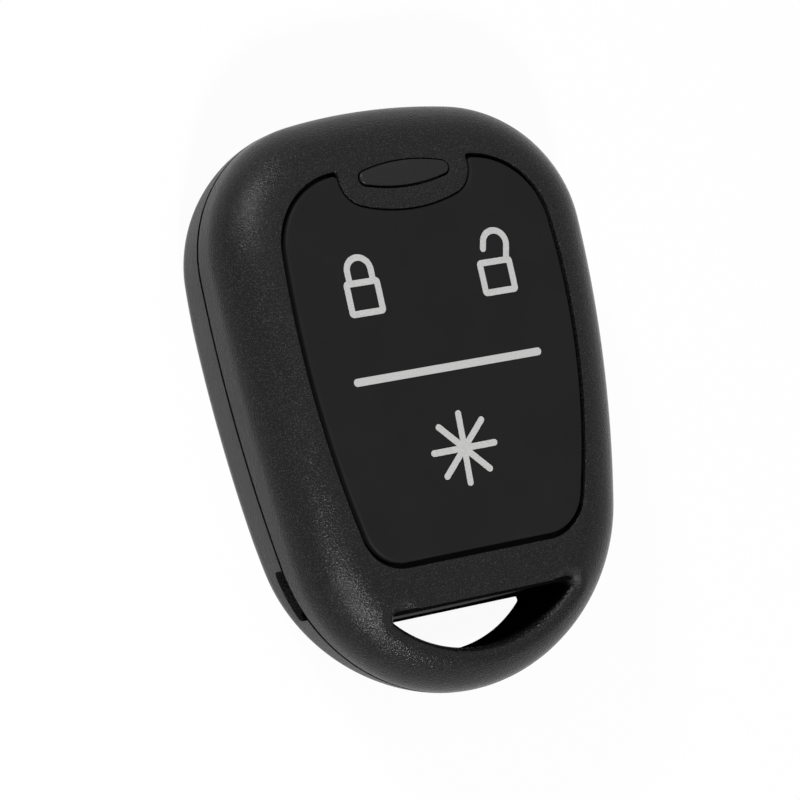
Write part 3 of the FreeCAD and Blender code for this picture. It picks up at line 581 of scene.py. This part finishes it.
def key_loop(grow, tab_grow, lift, tip):
    """The shield outline of the keypad with its notch for the shell's tab."""
    shoulder_reach = key_flank_radius - shoulder_radius
    corner_reach = key_flank_radius - key_corner_radius
    corner_y = key_bottom + key_corner_radius + lift
    high_angle = math.asin((shoulder_y - key_flank_y) / shoulder_reach)
    low_angle = math.asin((corner_y - key_flank_y) / corner_reach)
    shoulder_x = key_flank_x + shoulder_reach * math.cos(high_angle)
    corner_x = key_flank_x + corner_reach * math.cos(low_angle)
    side = tab_half_width + tab_grow
    tip_x = side + tip - shoulder_x
    tip_y = shoulder_y + math.sqrt((shoulder_radius + grow - tip) ** 2 - tip_x ** 2)
    tip_angle = math.atan2(tip_y - shoulder_y, tip_x)
    bottom = corner_y - key_corner_radius - grow
    turn = math.atan2(tab_rise, tab_half_width - tab_corner_radius)
    tab_end = tab_bottom + tab_bottom_radius
    right = straight_run((0.0, bottom), (corner_x, bottom))
    right += arc_run((corner_x, corner_y), key_corner_radius + grow, -math.pi / 2, low_angle, step=0.25)
    right += arc_run((key_flank_x, key_flank_y), key_flank_radius + grow, low_angle, high_angle)
    right += arc_run((shoulder_x, shoulder_y), shoulder_radius + grow, high_angle, tip_angle, step=0.3)
    right += arc_run((side + tip, tip_y), tip, tip_angle, math.pi, step=0.1)
    right += straight_run((side, tip_y), (side, tab_corner_y), step=0.3)
    right += arc_run((tab_half_width - tab_corner_radius, tab_corner_y), tab_corner_radius + tab_grow,
                     0, -turn, step=0.3)
    right += arc_run((0, tab_end), tab_bottom_radius + tab_grow, -turn, -math.pi / 2)
    return mirror_closed(right + [(0.0, tab_end - tab_bottom_radius - tab_grow)])


def window_loop(grow):
    """The long rounded outline of the light window."""
    end = window_end_radius + grow
    reach = window_half_length - window_end_radius
    bulge = window_half_height + grow
    radius = (reach ** 2 + bulge ** 2 - end ** 2) / (2 * (bulge - end))
    turn = math.atan2(radius - bulge, reach)
    right = arc_run((0, window_y - radius + bulge), radius, math.pi / 2, turn, step=0.3)
    right += arc_run((reach, window_y), end, turn, -turn, step=0.12)
    right += arc_run((0, window_y + radius - bulge), radius, -turn, -math.pi / 2, step=0.3)
    return mirror_closed(right + [(0.0, window_y - bulge)])


def crown_height(points, inset):
    """The front face, a drum bowed lengthwise, a distance inside it."""
    return top_z - crown_radius + np.sqrt((crown_radius - inset) ** 2 - (points[:, 1] - crown_y) ** 2)


def slot_round(points):
    """The rounding of the slot's front edge: tight along its straight top, broad round its arc."""
    past = np.clip((np.abs(points[:, 0]) - slot_reach + slot_round_run) / slot_round_run, 0, 1)
    share = np.where(points[:, 1] < slot_top, 1.0, past * past * (3 - 2 * past))
    return slot_front_radii[0] + (slot_front_radii[1] - slot_front_radii[0]) * share


slot_edge = slot_loop(0.0)
opening = key_loop(0.0, 0.0, 0.0, opening_tip_radius)
window_edge = window_loop(0.0)
hook_outer = wall + 2 * fit_gap
hook_inner = hook_outer + hook_thickness
front_loops = [case_loop(d) for d in [0.0] + round_rings(front_edge_radius, 16) + [
    groove_depth, wall - lip_thickness - fit_gap, wall, hook_outer, hook_inner]]
front_loops += [slot_loop(g) for g in [0.0] + round_rings(slot_front_radii[0], 3) + [slot_wall]
                + round_rings(slot_front_radii[1], 8)]
front_loops += [key_loop(g, -g, 0.0, opening_tip_radius + g) for g in opening_rings]
front_loops += [window_loop(g) for g in window_rings]
hook_lines = []
for y in hook_places:
    for end in (y - hook_width / 2, y + hook_width / 2):
        hook_lines += [[(side * x, end) for x in hook_span] for side in (1, -1)]
points, triangles = plan_triangles(front_loops, hook_lines, shell_spacing)
centres = points[triangles].mean(1)
edge_away = distance_to(points, front_loops[0])
slot_away = distance_to(points, slot_edge)
roof_round = front_edge_radius - wall
heights = {
    "front": np.maximum(crown_height(points, 0.0) - round_drop(edge_away, front_edge_radius)
                        - round_drop(slot_away, slot_round(points))
                        - round_drop(distance_to(points, opening), opening_edge_radius)
                        - round_drop(distance_to(points, window_edge), window_edge_radius),
                        back_depth + groove_height / 2 + face_clearance),
    "groove": np.full(len(points), back_depth + groove_height / 2),
    "seam": np.full(len(points), back_depth),
    "rebate": np.full(len(points), back_depth + lip_height + fit_gap),
    "roof": crown_height(points, wall) - round_drop(edge_away - wall, roof_round),
    "hook": np.full(len(points), back_depth - hook_reach),
}
away = distance_to(centres, front_loops[0])
bottom = np.full(len(triangles), "roof", dtype=object)
for y in hook_places:
    bottom[(away < hook_inner) & (np.abs(centres[:, 1] - y) < hook_width / 2)] = "hook"
bottom[away < hook_outer] = "roof"
bottom[away < wall] = "rebate"
bottom[away < wall - lip_thickness - fit_gap] = "seam"
bottom[away < groove_depth] = "groove"
bottom[inside(centres, slot_loop(slot_wall))] = "seam"
top = np.full(len(triangles), "front", dtype=object)
top[~inside(centres, front_loops[0])] = None
for hole in (slot_edge, opening, window_edge):
    top[inside(centres, hole)] = None
front_shell = layered_mesh("front_case", points, triangles, top, bottom, heights)
front_shell.data.materials.append(case_black)
shade_recesses_and_polish_ledge(front_shell, 0.0)
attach(front_shell, "case")
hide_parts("front_shell")

# Keypad skin. One soft black silicone moulding over all three keys, with a rim that fills the opening.
# It stands a little proud and its flange is held under the shell. The pieces over the keys ride on their
# keys; the ramps round them stay where they are.
keypad_gap = 0.42
keypad_lift = 0.15
tab_gap = 0.14
keypad_tip_radius = 0.45
keypad_proud = 0.1
keypad_edge_radius = 0.30
skin_thickness = 0.9
skin_rim = 1.8
skin_flange = 1.2
flange_low = 11.08
skin_spacing = 0.7
ramp_step = 0.6

# West, south, east and north of the rectangles where the ramp round a key starts and where the skin lies on a
# key
key_fields = {
    "lock": ((-13.1, 3.15, -0.85, 16.6), (-10.7, 5.6, -3.3, 15.05)),
    "unlock": ((0.85, 3.15, 13.1, 16.6), (3.3, 5.6, 10.7, 15.05)),
    "star": ((-10.2, -12.9, 10.2, 1.45), (-7.8, -10.5, 7.8, -0.95)),
}

soft_black, tree, shader = new_material("soft_black", (0.0080, 0.0080, 0.0082), 0.6)
shader.inputs["Specular IOR Level"].default_value = 0.1
grain = use_group(tree, grain_group, Pit_Size=0.00011, Cloud_Size=0.006)
tone = map_noise(tree, grain.outputs["Clouds"], 0.0, 1.0)
tree.links.new(blend_colours(tree, tone, (0.0060, 0.0060, 0.0062), (0.0084, 0.0084, 0.0086)),
               shader.inputs["Base Color"])
tree.links.new(map_noise(tree, grain.outputs["Clouds"], 0.55, 0.64), shader.inputs["Roughness"])
add_relief(tree, shader, grain.outputs["Height"], 0.000008, strength=0.5)


def keypad_loop(inset, tip):
    """The skin's outline in its opening, a distance inside its edge."""
    return key_loop(-keypad_gap - inset, tab_gap + inset, keypad_lift, tip)


pad_edge = keypad_loop(0.0, keypad_tip_radius)
hollow = keypad_loop(skin_rim, keypad_tip_radius)
pad_loops = [key_loop(skin_flange, -skin_flange, 0.0, keypad_tip_radius), pad_edge]
pad_loops += [keypad_loop(d, keypad_tip_radius - d) for d in round_rings(keypad_edge_radius, 5)]
pad_loops += [hollow]
pad_lines = []
for outer, inner in key_fields.values():
    corners = []
    for x0, y0, x1, y1 in (outer, inner):
        corners.append([(x0, y0), (x1, y0), (x1, y1), (x0, y1)])
    for ring in corners:
        for i in range(4):
            pad_lines.append(straight_run(ring[i], ring[(i + 1) % 4], ramp_step) + [ring[(i + 1) % 4]])
    for a, b in zip(*corners):
        pad_lines.append(straight_run(a, b, ramp_step) + [b])
points, triangles = plan_triangles(pad_loops, pad_lines, skin_spacing)
centres = points[triangles].mean(1)
heights = {
    "face": (crown_height(points, -keypad_proud)
             - round_drop(distance_to(points, pad_edge), keypad_edge_radius)),
    "flange": crown_height(points, wall + fit_gap),
    "low": np.full(len(points), flange_low),
    "roof": crown_height(points, skin_thickness - keypad_proud),
}
top = np.full(len(triangles), "face", dtype=object)
top[~inside(centres, pad_edge)] = "flange"
top[~inside(centres, pad_loops[0])] = None
bottom = np.full(len(triangles), "low", dtype=object)
bottom[inside(centres, hollow)] = "roof"
owner = np.full(len(triangles), "rest", dtype=object)
blends = {}
for key, (outer, inner) in key_fields.items():
    x, y = centres[:, 0], centres[:, 1]
    shares = {
        "west": (x - outer[0]) / (inner[0] - outer[0]),
        "south": (y - outer[1]) / (inner[1] - outer[1]),
        "east": (outer[2] - x) / (outer[2] - inner[2]),
        "north": (outer[3] - y) / (outer[3] - inner[3]),
    }
    nearest = np.min(list(shares.values()), axis=0)
    owner[nearest > 1] = key
    for side, share in shares.items():
        owner[(share == nearest) & (nearest > 0) & (nearest < 1)] = key + "_" + side
    middle = ((inner[0] + inner[2]) / 2, (inner[1] + inner[3]) / 2)
    blends[key + "_west"] = (key, (outer[0], middle[1]), (inner[0], middle[1]))
    blends[key + "_south"] = (key, (middle[0], outer[1]), (middle[0], inner[1]))
    blends[key + "_east"] = (key, (outer[2], middle[1]), (inner[2], middle[1]))
    blends[key + "_north"] = (key, (middle[0], outer[3]), (middle[0], inner[3]))
for name in ["rest", *key_fields, *blends]:
    kept = np.where(owner == name, top, None)
    skin = layered_mesh("skin_" + name, points, triangles, kept, bottom, heights)
    skin.data.materials.append(soft_black)
    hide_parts("keypad_skin")
    if name == "rest":
        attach(skin, "case")
    elif name in key_fields:
        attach(skin, name + "_key")
    else:
        key, start, end = blends[name]
        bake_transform(skin)

# Printed marks. Light grey ink, screen printed on the skin: two padlocks, a star and a divider bar.
# A print layer is thin and faintly uneven. The padlocks and the star go down with their keys.
ink_grey, tree, shader = new_material("ink_grey", (0.62, 0.62, 0.61), 0.55)
grain = use_group(tree, grain_group, Pit_Size=0.00014, Cloud_Size=0.0015)
tone = map_noise(tree, grain.outputs["Pits"], 0.0, 1.0)
tree.links.new(blend_colours(tree, tone, (0.395, 0.395, 0.391), (0.525, 0.525, 0.521)),
               shader.inputs["Base Color"])
tree.links.new(map_noise(tree, grain.outputs["Clouds"], 0.5, 0.62), shader.inputs["Roughness"])
add_relief(tree, shader, grain.outputs["Height"], 0.00001, strength=0.6)


def refinish(names, material):
    """CAD nodes that keep their own shape get a finish of their own."""
    for name in names:
        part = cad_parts[name]
        for number in range(len(part.material_slots)):
            part.material_slots[number].material = material


refinish(("lock_icon", "unlock_icon", "star_icon", "divider_line"), ink_grey)

# Light window. A small smoked acrylic lens over the indicator lamp, plain where the case has its grain.
# It stands a hair proud and off centre in its hole, with a flange behind the face and a light post.
window_gap = 0.15
window_shift = (0.05, 0.06)
window_proud = 0.08
window_round = 0.2
window_flange = 0.45
window_flange_thickness = 0.7
light_post_radius = 1.2
light_post_low = 7.75
lens_spacing = 0.4

smoked_lens, tree, shader = new_material("smoked_lens", (0.012, 0.012, 0.013), 0.32)
grain = use_group(tree, grain_group, Pit_Size=0.00025, Cloud_Size=0.003)
tree.links.new(map_noise(tree, grain.outputs["Clouds"], 0.28, 0.38), shader.inputs["Roughness"])
tone = map_noise(tree, grain.outputs["Pits"], 0.0, 1.0)
tree.links.new(blend_colours(tree, tone, (0.006, 0.006, 0.0065), (0.009, 0.009, 0.0095)),
               shader.inputs["Base Color"])
shader.inputs["Specular IOR Level"].default_value = 0.21

lens_edge = window_loop(-window_gap)
lens_loops = [window_loop(window_flange), lens_edge, circle_loop(0.0, window_y, light_post_radius)]
lens_loops += [window_loop(-window_gap - d) for d in round_rings(window_round, 4)]
points, triangles = plan_triangles(lens_loops, [], lens_spacing)
centres = points[triangles].mean(1)
heights = {
    "lens": crown_height(points, -window_proud) - round_drop(distance_to(points, lens_edge), window_round),
    "flange": crown_height(points, wall + fit_gap),
    "under": crown_height(points, wall + fit_gap + window_flange_thickness),
    "post": np.full(len(points), light_post_low),
}
top = np.full(len(triangles), "lens", dtype=object)
top[~inside(centres, lens_edge)] = "flange"
top[~inside(centres, lens_loops[0])] = None
bottom = np.full(len(triangles), "under", dtype=object)
bottom[inside(centres, lens_loops[2])] = "post"
window = layered_mesh("window_lens", points + window_shift, triangles, top, bottom, heights)
window.data.materials.append(smoked_lens)
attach(window, "case")
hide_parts("light_window")

# Keypad frame. A flat plate of plain black ABS on four legs, between the skin and the circuit board.
# It presses the skin's flange up against the front shell and guides the three plungers.
frame_black = grained_plastic("frame_black", dark=(0.008, 0.008, 0.0082), light=(0.026, 0.026, 0.027),
                              roughness=(0.42, 0.56), pit_size=0.00032, depth=0.00003)
refinish(("keypad_frame",), frame_black)

# Keys. Hard plates of natural polypropylene behind the skin, each with a plunger down to its switch.
# They come out of the mould milky and a little waxy, with faint flow clouds.
milky_grey = grained_plastic("milky_grey", dark=(0.4, 0.4, 0.38), light=(0.5, 0.5, 0.48),
                             roughness=(0.40, 0.52), pit_size=0.0004, depth=0.00002)
refinish([key + "_key" for key in key_fields], milky_grey)

# Push switches. Each has a black moulded base, a steel snap dome, an ivory stem and a steel cover.
# The covers are stamped from rolled strip, so fine lines run along them.
lines_group, lines_in, lines_out = new_group("rolled_lines", {"Line Width": 0.00004, "Line Length": 0.002},
                                             ["Lines", "Haze"])
place = add_node(lines_group, "ShaderNodeTexCoord")
haze_scale = 700.0
lengthwise = divided_by(lines_group, 1.0, lines_in.outputs["Line Length"])
sideways = divided_by(lines_group, 1.0, lines_in.outputs["Line Width"])
stretch = add_node(lines_group, "ShaderNodeCombineXYZ", X=lengthwise, Y=sideways, Z=sideways)
run = add_node(lines_group, "ShaderNodeVectorMath", operation="MULTIPLY")
lines_group.links.new(place.outputs["Object"], run.inputs[0])
lines_group.links.new(stretch.outputs["Vector"], run.inputs[1])
strokes = add_node(lines_group, "ShaderNodeTexNoise", Vector=run.outputs["Vector"], Scale=1.0, Detail=2.0)
haze = add_node(lines_group, "ShaderNodeTexNoise", Vector=place.outputs["Object"], Scale=haze_scale,
                Detail=3.0)
lines_group.links.new(strokes.outputs["Fac"], lines_out.inputs["Lines"])
lines_group.links.new(haze.outputs["Fac"], lines_out.inputs["Haze"])


def rolled_metal(name, dark, light, roughness, line_width, line_length):
    """Sheet metal with rolling lines, a hazy tone and an uneven gloss."""
    material, tree, shader = new_material(name, light, roughness[0], 1.0)
    lines = use_group(tree, lines_group, Line_Width=line_width, Line_Length=line_length)
    tone = map_noise(tree, lines.outputs["Haze"], 0.0, 1.0)
    tree.links.new(blend_colours(tree, tone, dark, light), shader.inputs["Base Color"])
    tree.links.new(map_noise(tree, lines.outputs["Lines"], *roughness), shader.inputs["Roughness"])
    add_relief(tree, shader, lines.outputs["Lines"], 0.000006, strength=0.6)
    return material


switch_black = grained_plastic("switch_black", dark=(0.01, 0.01, 0.011), light=(0.03, 0.03, 0.031),
                               roughness=(0.38, 0.50), pit_size=0.00015, depth=0.00001)
ivory_stem = grained_plastic("ivory_stem", dark=(0.52, 0.48, 0.38), light=(0.6, 0.56, 0.46),
                             roughness=(0.35, 0.46), pit_size=0.00015, depth=0.00001)
bright_steel = rolled_metal("bright_steel", dark=(0.50, 0.50, 0.51), light=(0.62, 0.62, 0.62),
                            roughness=(0.20, 0.36), line_width=0.00004, line_length=0.002)
for key in key_fields:
    refinish((key + "_switch_base",), switch_black)
    refinish((key + "_switch_stem",), ivory_stem)
    refinish((key + "_switch_cover", key + "_switch_dome"), bright_steel)

# Circuit board. A glass-fibre laminate one millimetre thick under green solder mask.
# The cloth inside it shows as a faint weave through the mask.
weave_group, weave_in, weave_out = new_group("glass_weave", {"Thread": 0.0005}, ["Weave"])
place = add_node(weave_group, "ShaderNodeTexCoord")
scale = divided_by(weave_group, 0.5, weave_in.outputs["Thread"])
threads = []
for direction in "XY":
    wave = add_node(weave_group, "ShaderNodeTexWave", Vector=place.outputs["Object"], Scale=scale,
                    Distortion=0.6, Detail=1.0)
    wave.bands_direction = direction
    threads.append(wave.outputs["Fac"])
crossing = add_node(weave_group, "ShaderNodeMath", operation="MULTIPLY")
for number, thread in enumerate(threads):
    weave_group.links.new(thread, crossing.inputs[number])
weave_group.links.new(crossing.outputs[0], weave_out.inputs["Weave"])

mask_green, tree, shader = new_material("mask_green", (0.012, 0.085, 0.030), 0.30)
weave = use_group(tree, weave_group, Thread=0.0005)
tree.links.new(blend_colours(tree, weave.outputs["Weave"], (0.009, 0.070, 0.024), (0.014, 0.105, 0.038)),
               shader.inputs["Base Color"])
tree.links.new(map_value(tree, weave.outputs["Weave"], 0.34, 0.24), shader.inputs["Roughness"])
add_relief(tree, shader, weave.outputs["Weave"], 0.00001, strength=0.5)
refinish(("circuit_board",), mask_green)

# Antenna track. The transmitter's loop, etched from the board's own copper foil.
# The copper lies bare, so it has tarnished a little.
track_copper = rolled_metal("track_copper", dark=(0.52, 0.22, 0.12), light=(0.80, 0.42, 0.28),
                            roughness=(0.28, 0.46), line_width=0.00006, line_length=0.0008)
refinish(("antenna_track",), track_copper)

# Controller chip and transistor. Black epoxy blocks with a fine matt grain, pressed round their legs.
# The legs are tinned copper strip.
chip_epoxy = grained_plastic("chip_epoxy", dark=(0.012, 0.012, 0.013), light=(0.04, 0.04, 0.042),
                             roughness=(0.55, 0.70), pit_size=0.0001, depth=0.00001)
tinned_leg = rolled_metal("tinned_leg", dark=(0.55, 0.55, 0.54), light=(0.72, 0.72, 0.71),
                          roughness=(0.30, 0.48), line_width=0.00005, line_length=0.0004)
refinish(("controller_chip", "transistor"), chip_epoxy)
refinish(("controller_legs",), tinned_leg)

# Resonator. A round can on the board, with a quartz inside that sets the radio frequency.
# It is drawn from nickel-plated steel sheet, so fine lines run along it.
drawn_nickel = rolled_metal("drawn_nickel", dark=(0.48, 0.46, 0.42), light=(0.66, 0.63, 0.58),
                            roughness=(0.18, 0.32), line_width=0.00004, line_length=0.0015)
refinish(("resonator",), drawn_nickel)

# Indicator lamp. A small light-emitting chip on the board under the light window.
# It is cast in a block of red-tinted epoxy.
lamp_epoxy, tree, shader = new_material("lamp_epoxy", (0.42, 0.030, 0.020), 0.22)
grain = use_group(tree, grain_group, Pit_Size=0.0002, Cloud_Size=0.0008)
tone = map_noise(tree, grain.outputs["Clouds"], 0.0, 1.0)
tree.links.new(blend_colours(tree, tone, (0.32, 0.020, 0.014), (0.52, 0.040, 0.028)),
               shader.inputs["Base Color"])
tree.links.new(map_noise(tree, grain.outputs["Pits"], 0.16, 0.28), shader.inputs["Roughness"])
refinish(("indicator_lamp",), lamp_epoxy)

# Capacitors and resistors. Small fired ceramic chips: the capacitors tan all through,
# the resistors with a black glass face.
tan_ceramic = grained_plastic("tan_ceramic", dark=(0.36, 0.26, 0.17), light=(0.46, 0.35, 0.24),
                              roughness=(0.34, 0.50), pit_size=0.00008, depth=0.000006)
glazed_black = grained_plastic("glazed_black", dark=(0.01, 0.01, 0.012), light=(0.035, 0.035, 0.038),
                               roughness=(0.12, 0.22), pit_size=0.00012, depth=0.000004)
refinish(("capacitors",), tan_ceramic)
refinish(("resistors",), glazed_black)

# Coin cell. A lithium cell 20 mm across: a deep-drawn steel can, a cap and a grey nylon seal between them.
# Both metal faces are nickel plated and lightly brushed.
brushed_nickel = rolled_metal("brushed_nickel", dark=(0.54, 0.53, 0.50), light=(0.70, 0.69, 0.66),
                              roughness=(0.24, 0.42), line_width=0.00005, line_length=0.004)
seal_grey = grained_plastic("seal_grey", dark=(0.1, 0.1, 0.105), light=(0.15, 0.15, 0.155),
                            roughness=(0.48, 0.60), pit_size=0.0002, depth=0.00001)
refinish(("cell_can", "cell_cap"), brushed_nickel)
refinish(("cell_seal",), seal_grey)

# Battery clip and contact spring. The clip is sprung steel strip under the cell.
# The spring is a phosphor bronze finger from the board to the cell's cap.
strip_steel = rolled_metal("strip_steel", dark=(0.42, 0.42, 0.43), light=(0.56, 0.56, 0.57),
                           roughness=(0.26, 0.44), line_width=0.00005, line_length=0.003)
spring_bronze = rolled_metal("spring_bronze", dark=(0.50, 0.34, 0.16), light=(0.68, 0.50, 0.27),
                             roughness=(0.22, 0.38), line_width=0.00004, line_length=0.002)
refinish(("battery_clip",), strip_steel)
refinish(("contact_spring",), spring_bronze)

# Camera. A long lens high over the case and to its left, with the picture turned a little.
# Its place and directions were fitted to the outlines of the case, the keypad, the window and the slot.
camera_right = Vector((0.86617, -0.19959, 0.45817))
camera_back = Vector((-0.47500, -0.04382, 0.87890))
camera_offset = Vector((-1.455284, -0.235618, 352.294478))
looked_at = Vector((0, 0.3, back_depth))
focal_length = 155.84
film_width = 36.0
clip_range = (0.01, 5.0)

turn = Matrix((camera_right, camera_back.cross(camera_right), camera_back)).transposed()
camera_data = bpy.data.cameras.new("camera")
camera_data.lens = focal_length
camera_data.sensor_width = film_width
camera_data.clip_start, camera_data.clip_end = clip_range
camera = bpy.data.objects.new("camera", camera_data)
camera.matrix_world = Matrix.Translation((turn @ camera_offset + looked_at) * MM) @ turn.to_4x4()
bpy.context.scene.collection.objects.link(camera)
bpy.context.scene.camera = camera

# Studio. A white table in a white room, with two small lamps to the left and a broad soft one overhead.
# The table shows from above only, so that the case can also be looked at from below.
floor_reach = 1.0
floor_z = -0.00005
floor_glow = 0.95
floor_in_gloss = 0.4
room_glow = (0.14, 1.0)
lamp_aim = Vector((0, 0, 0.007))


def background_rays(tree, in_gloss):
    """How far a ray sees plain white: all of it from the camera and through glass, a share off gloss."""
    path = add_node(tree, "ShaderNodeLightPath")
    seen = add_node(tree, "ShaderNodeMath", operation="MAXIMUM")
    tree.links.new(path.outputs["Is Camera Ray"], seen.inputs[0])
    tree.links.new(path.outputs["Is Transmission Ray"], seen.inputs[1])
    glossy = add_node(tree, "ShaderNodeMath", operation="MULTIPLY")
    tree.links.new(path.outputs["Is Glossy Ray"], glossy.inputs[0])
    glossy.inputs[1].default_value = in_gloss
    either = add_node(tree, "ShaderNodeMath", operation="MAXIMUM")
    tree.links.new(seen.outputs[0], either.inputs[0])
    tree.links.new(glossy.outputs[0], either.inputs[1])
    return either.outputs[0]


def mix_shaders(tree, share, first, second):
    """One shader that turns into another by a share."""
    mix = add_node(tree, "ShaderNodeMixShader")
    for number, socket in enumerate((share, first, second)):
        tree.links.new(socket, mix.inputs[number])
    return mix.outputs[0]


floor_mesh = bpy.data.meshes.new("floor")
floor_corners = [(x * floor_reach, y * floor_reach, floor_z) for x, y in ((-1, -1), (1, -1), (1, 1), (-1, 1))]
floor_mesh.from_pydata(floor_corners, [], [(0, 1, 2, 3)])
floor = bpy.data.objects.new("floor", floor_mesh)
bpy.context.scene.collection.objects.link(floor)
white_table, tree, shader = new_material("white_table", (0.85, 0.85, 0.85), 0.9)
shader.inputs["Specular IOR Level"].default_value = 0.0
plain = add_node(tree, "ShaderNodeEmission", Strength=1.0)
glow = map_value(tree, background_rays(tree, floor_in_gloss), 0.0, floor_glow)
from_above = mix_shaders(tree, glow, shader.outputs[0], plain.outputs[0])
clear = add_node(tree, "ShaderNodeBsdfTransparent")
backfacing = add_node(tree, "ShaderNodeNewGeometry").outputs["Backfacing"]
one_sided = mix_shaders(tree, backfacing, from_above, clear.outputs[0])
tree.links.new(one_sided, tree.nodes["Material Output"].inputs["Surface"])
floor_mesh.materials.append(white_table)

world = bpy.data.worlds.new("studio")
world.use_nodes = True
bpy.context.scene.world = world
tree = world.node_tree
background = tree.nodes["Background"]
background.inputs["Color"].default_value = (1.0, 1.0, 1.0, 1.0)
tree.links.new(map_value(tree, background_rays(tree, 1.0), *room_glow), background.inputs["Strength"])


def soft_lamp(name, place, size, power):
    """A square soft box turned to the case."""
    data = bpy.data.lights.new(name, "AREA")
    data.shape = "RECTANGLE"
    data.size, data.size_y = size
    data.energy = power
    lamp = bpy.data.objects.new(name, data)
    lamp.location = place
    lamp.rotation_euler = (lamp_aim - Vector(place)).to_track_quat("-Z", "Y").to_euler()
    bpy.context.scene.collection.objects.link(lamp)


soft_lamp("upper_left_lamp", place=(-0.33, 0.58, 0.40), size=(0.10, 0.10), power=3.8)
soft_lamp("near_lamp", place=(-0.28, -0.61, 0.57), size=(0.08, 0.08), power=6.6)
soft_lamp("high_lamp", place=(0.06, 0.30, 0.85), size=(0.40, 0.40), power=0.8)

bpy.context.scene.view_settings.view_transform = "Standard"
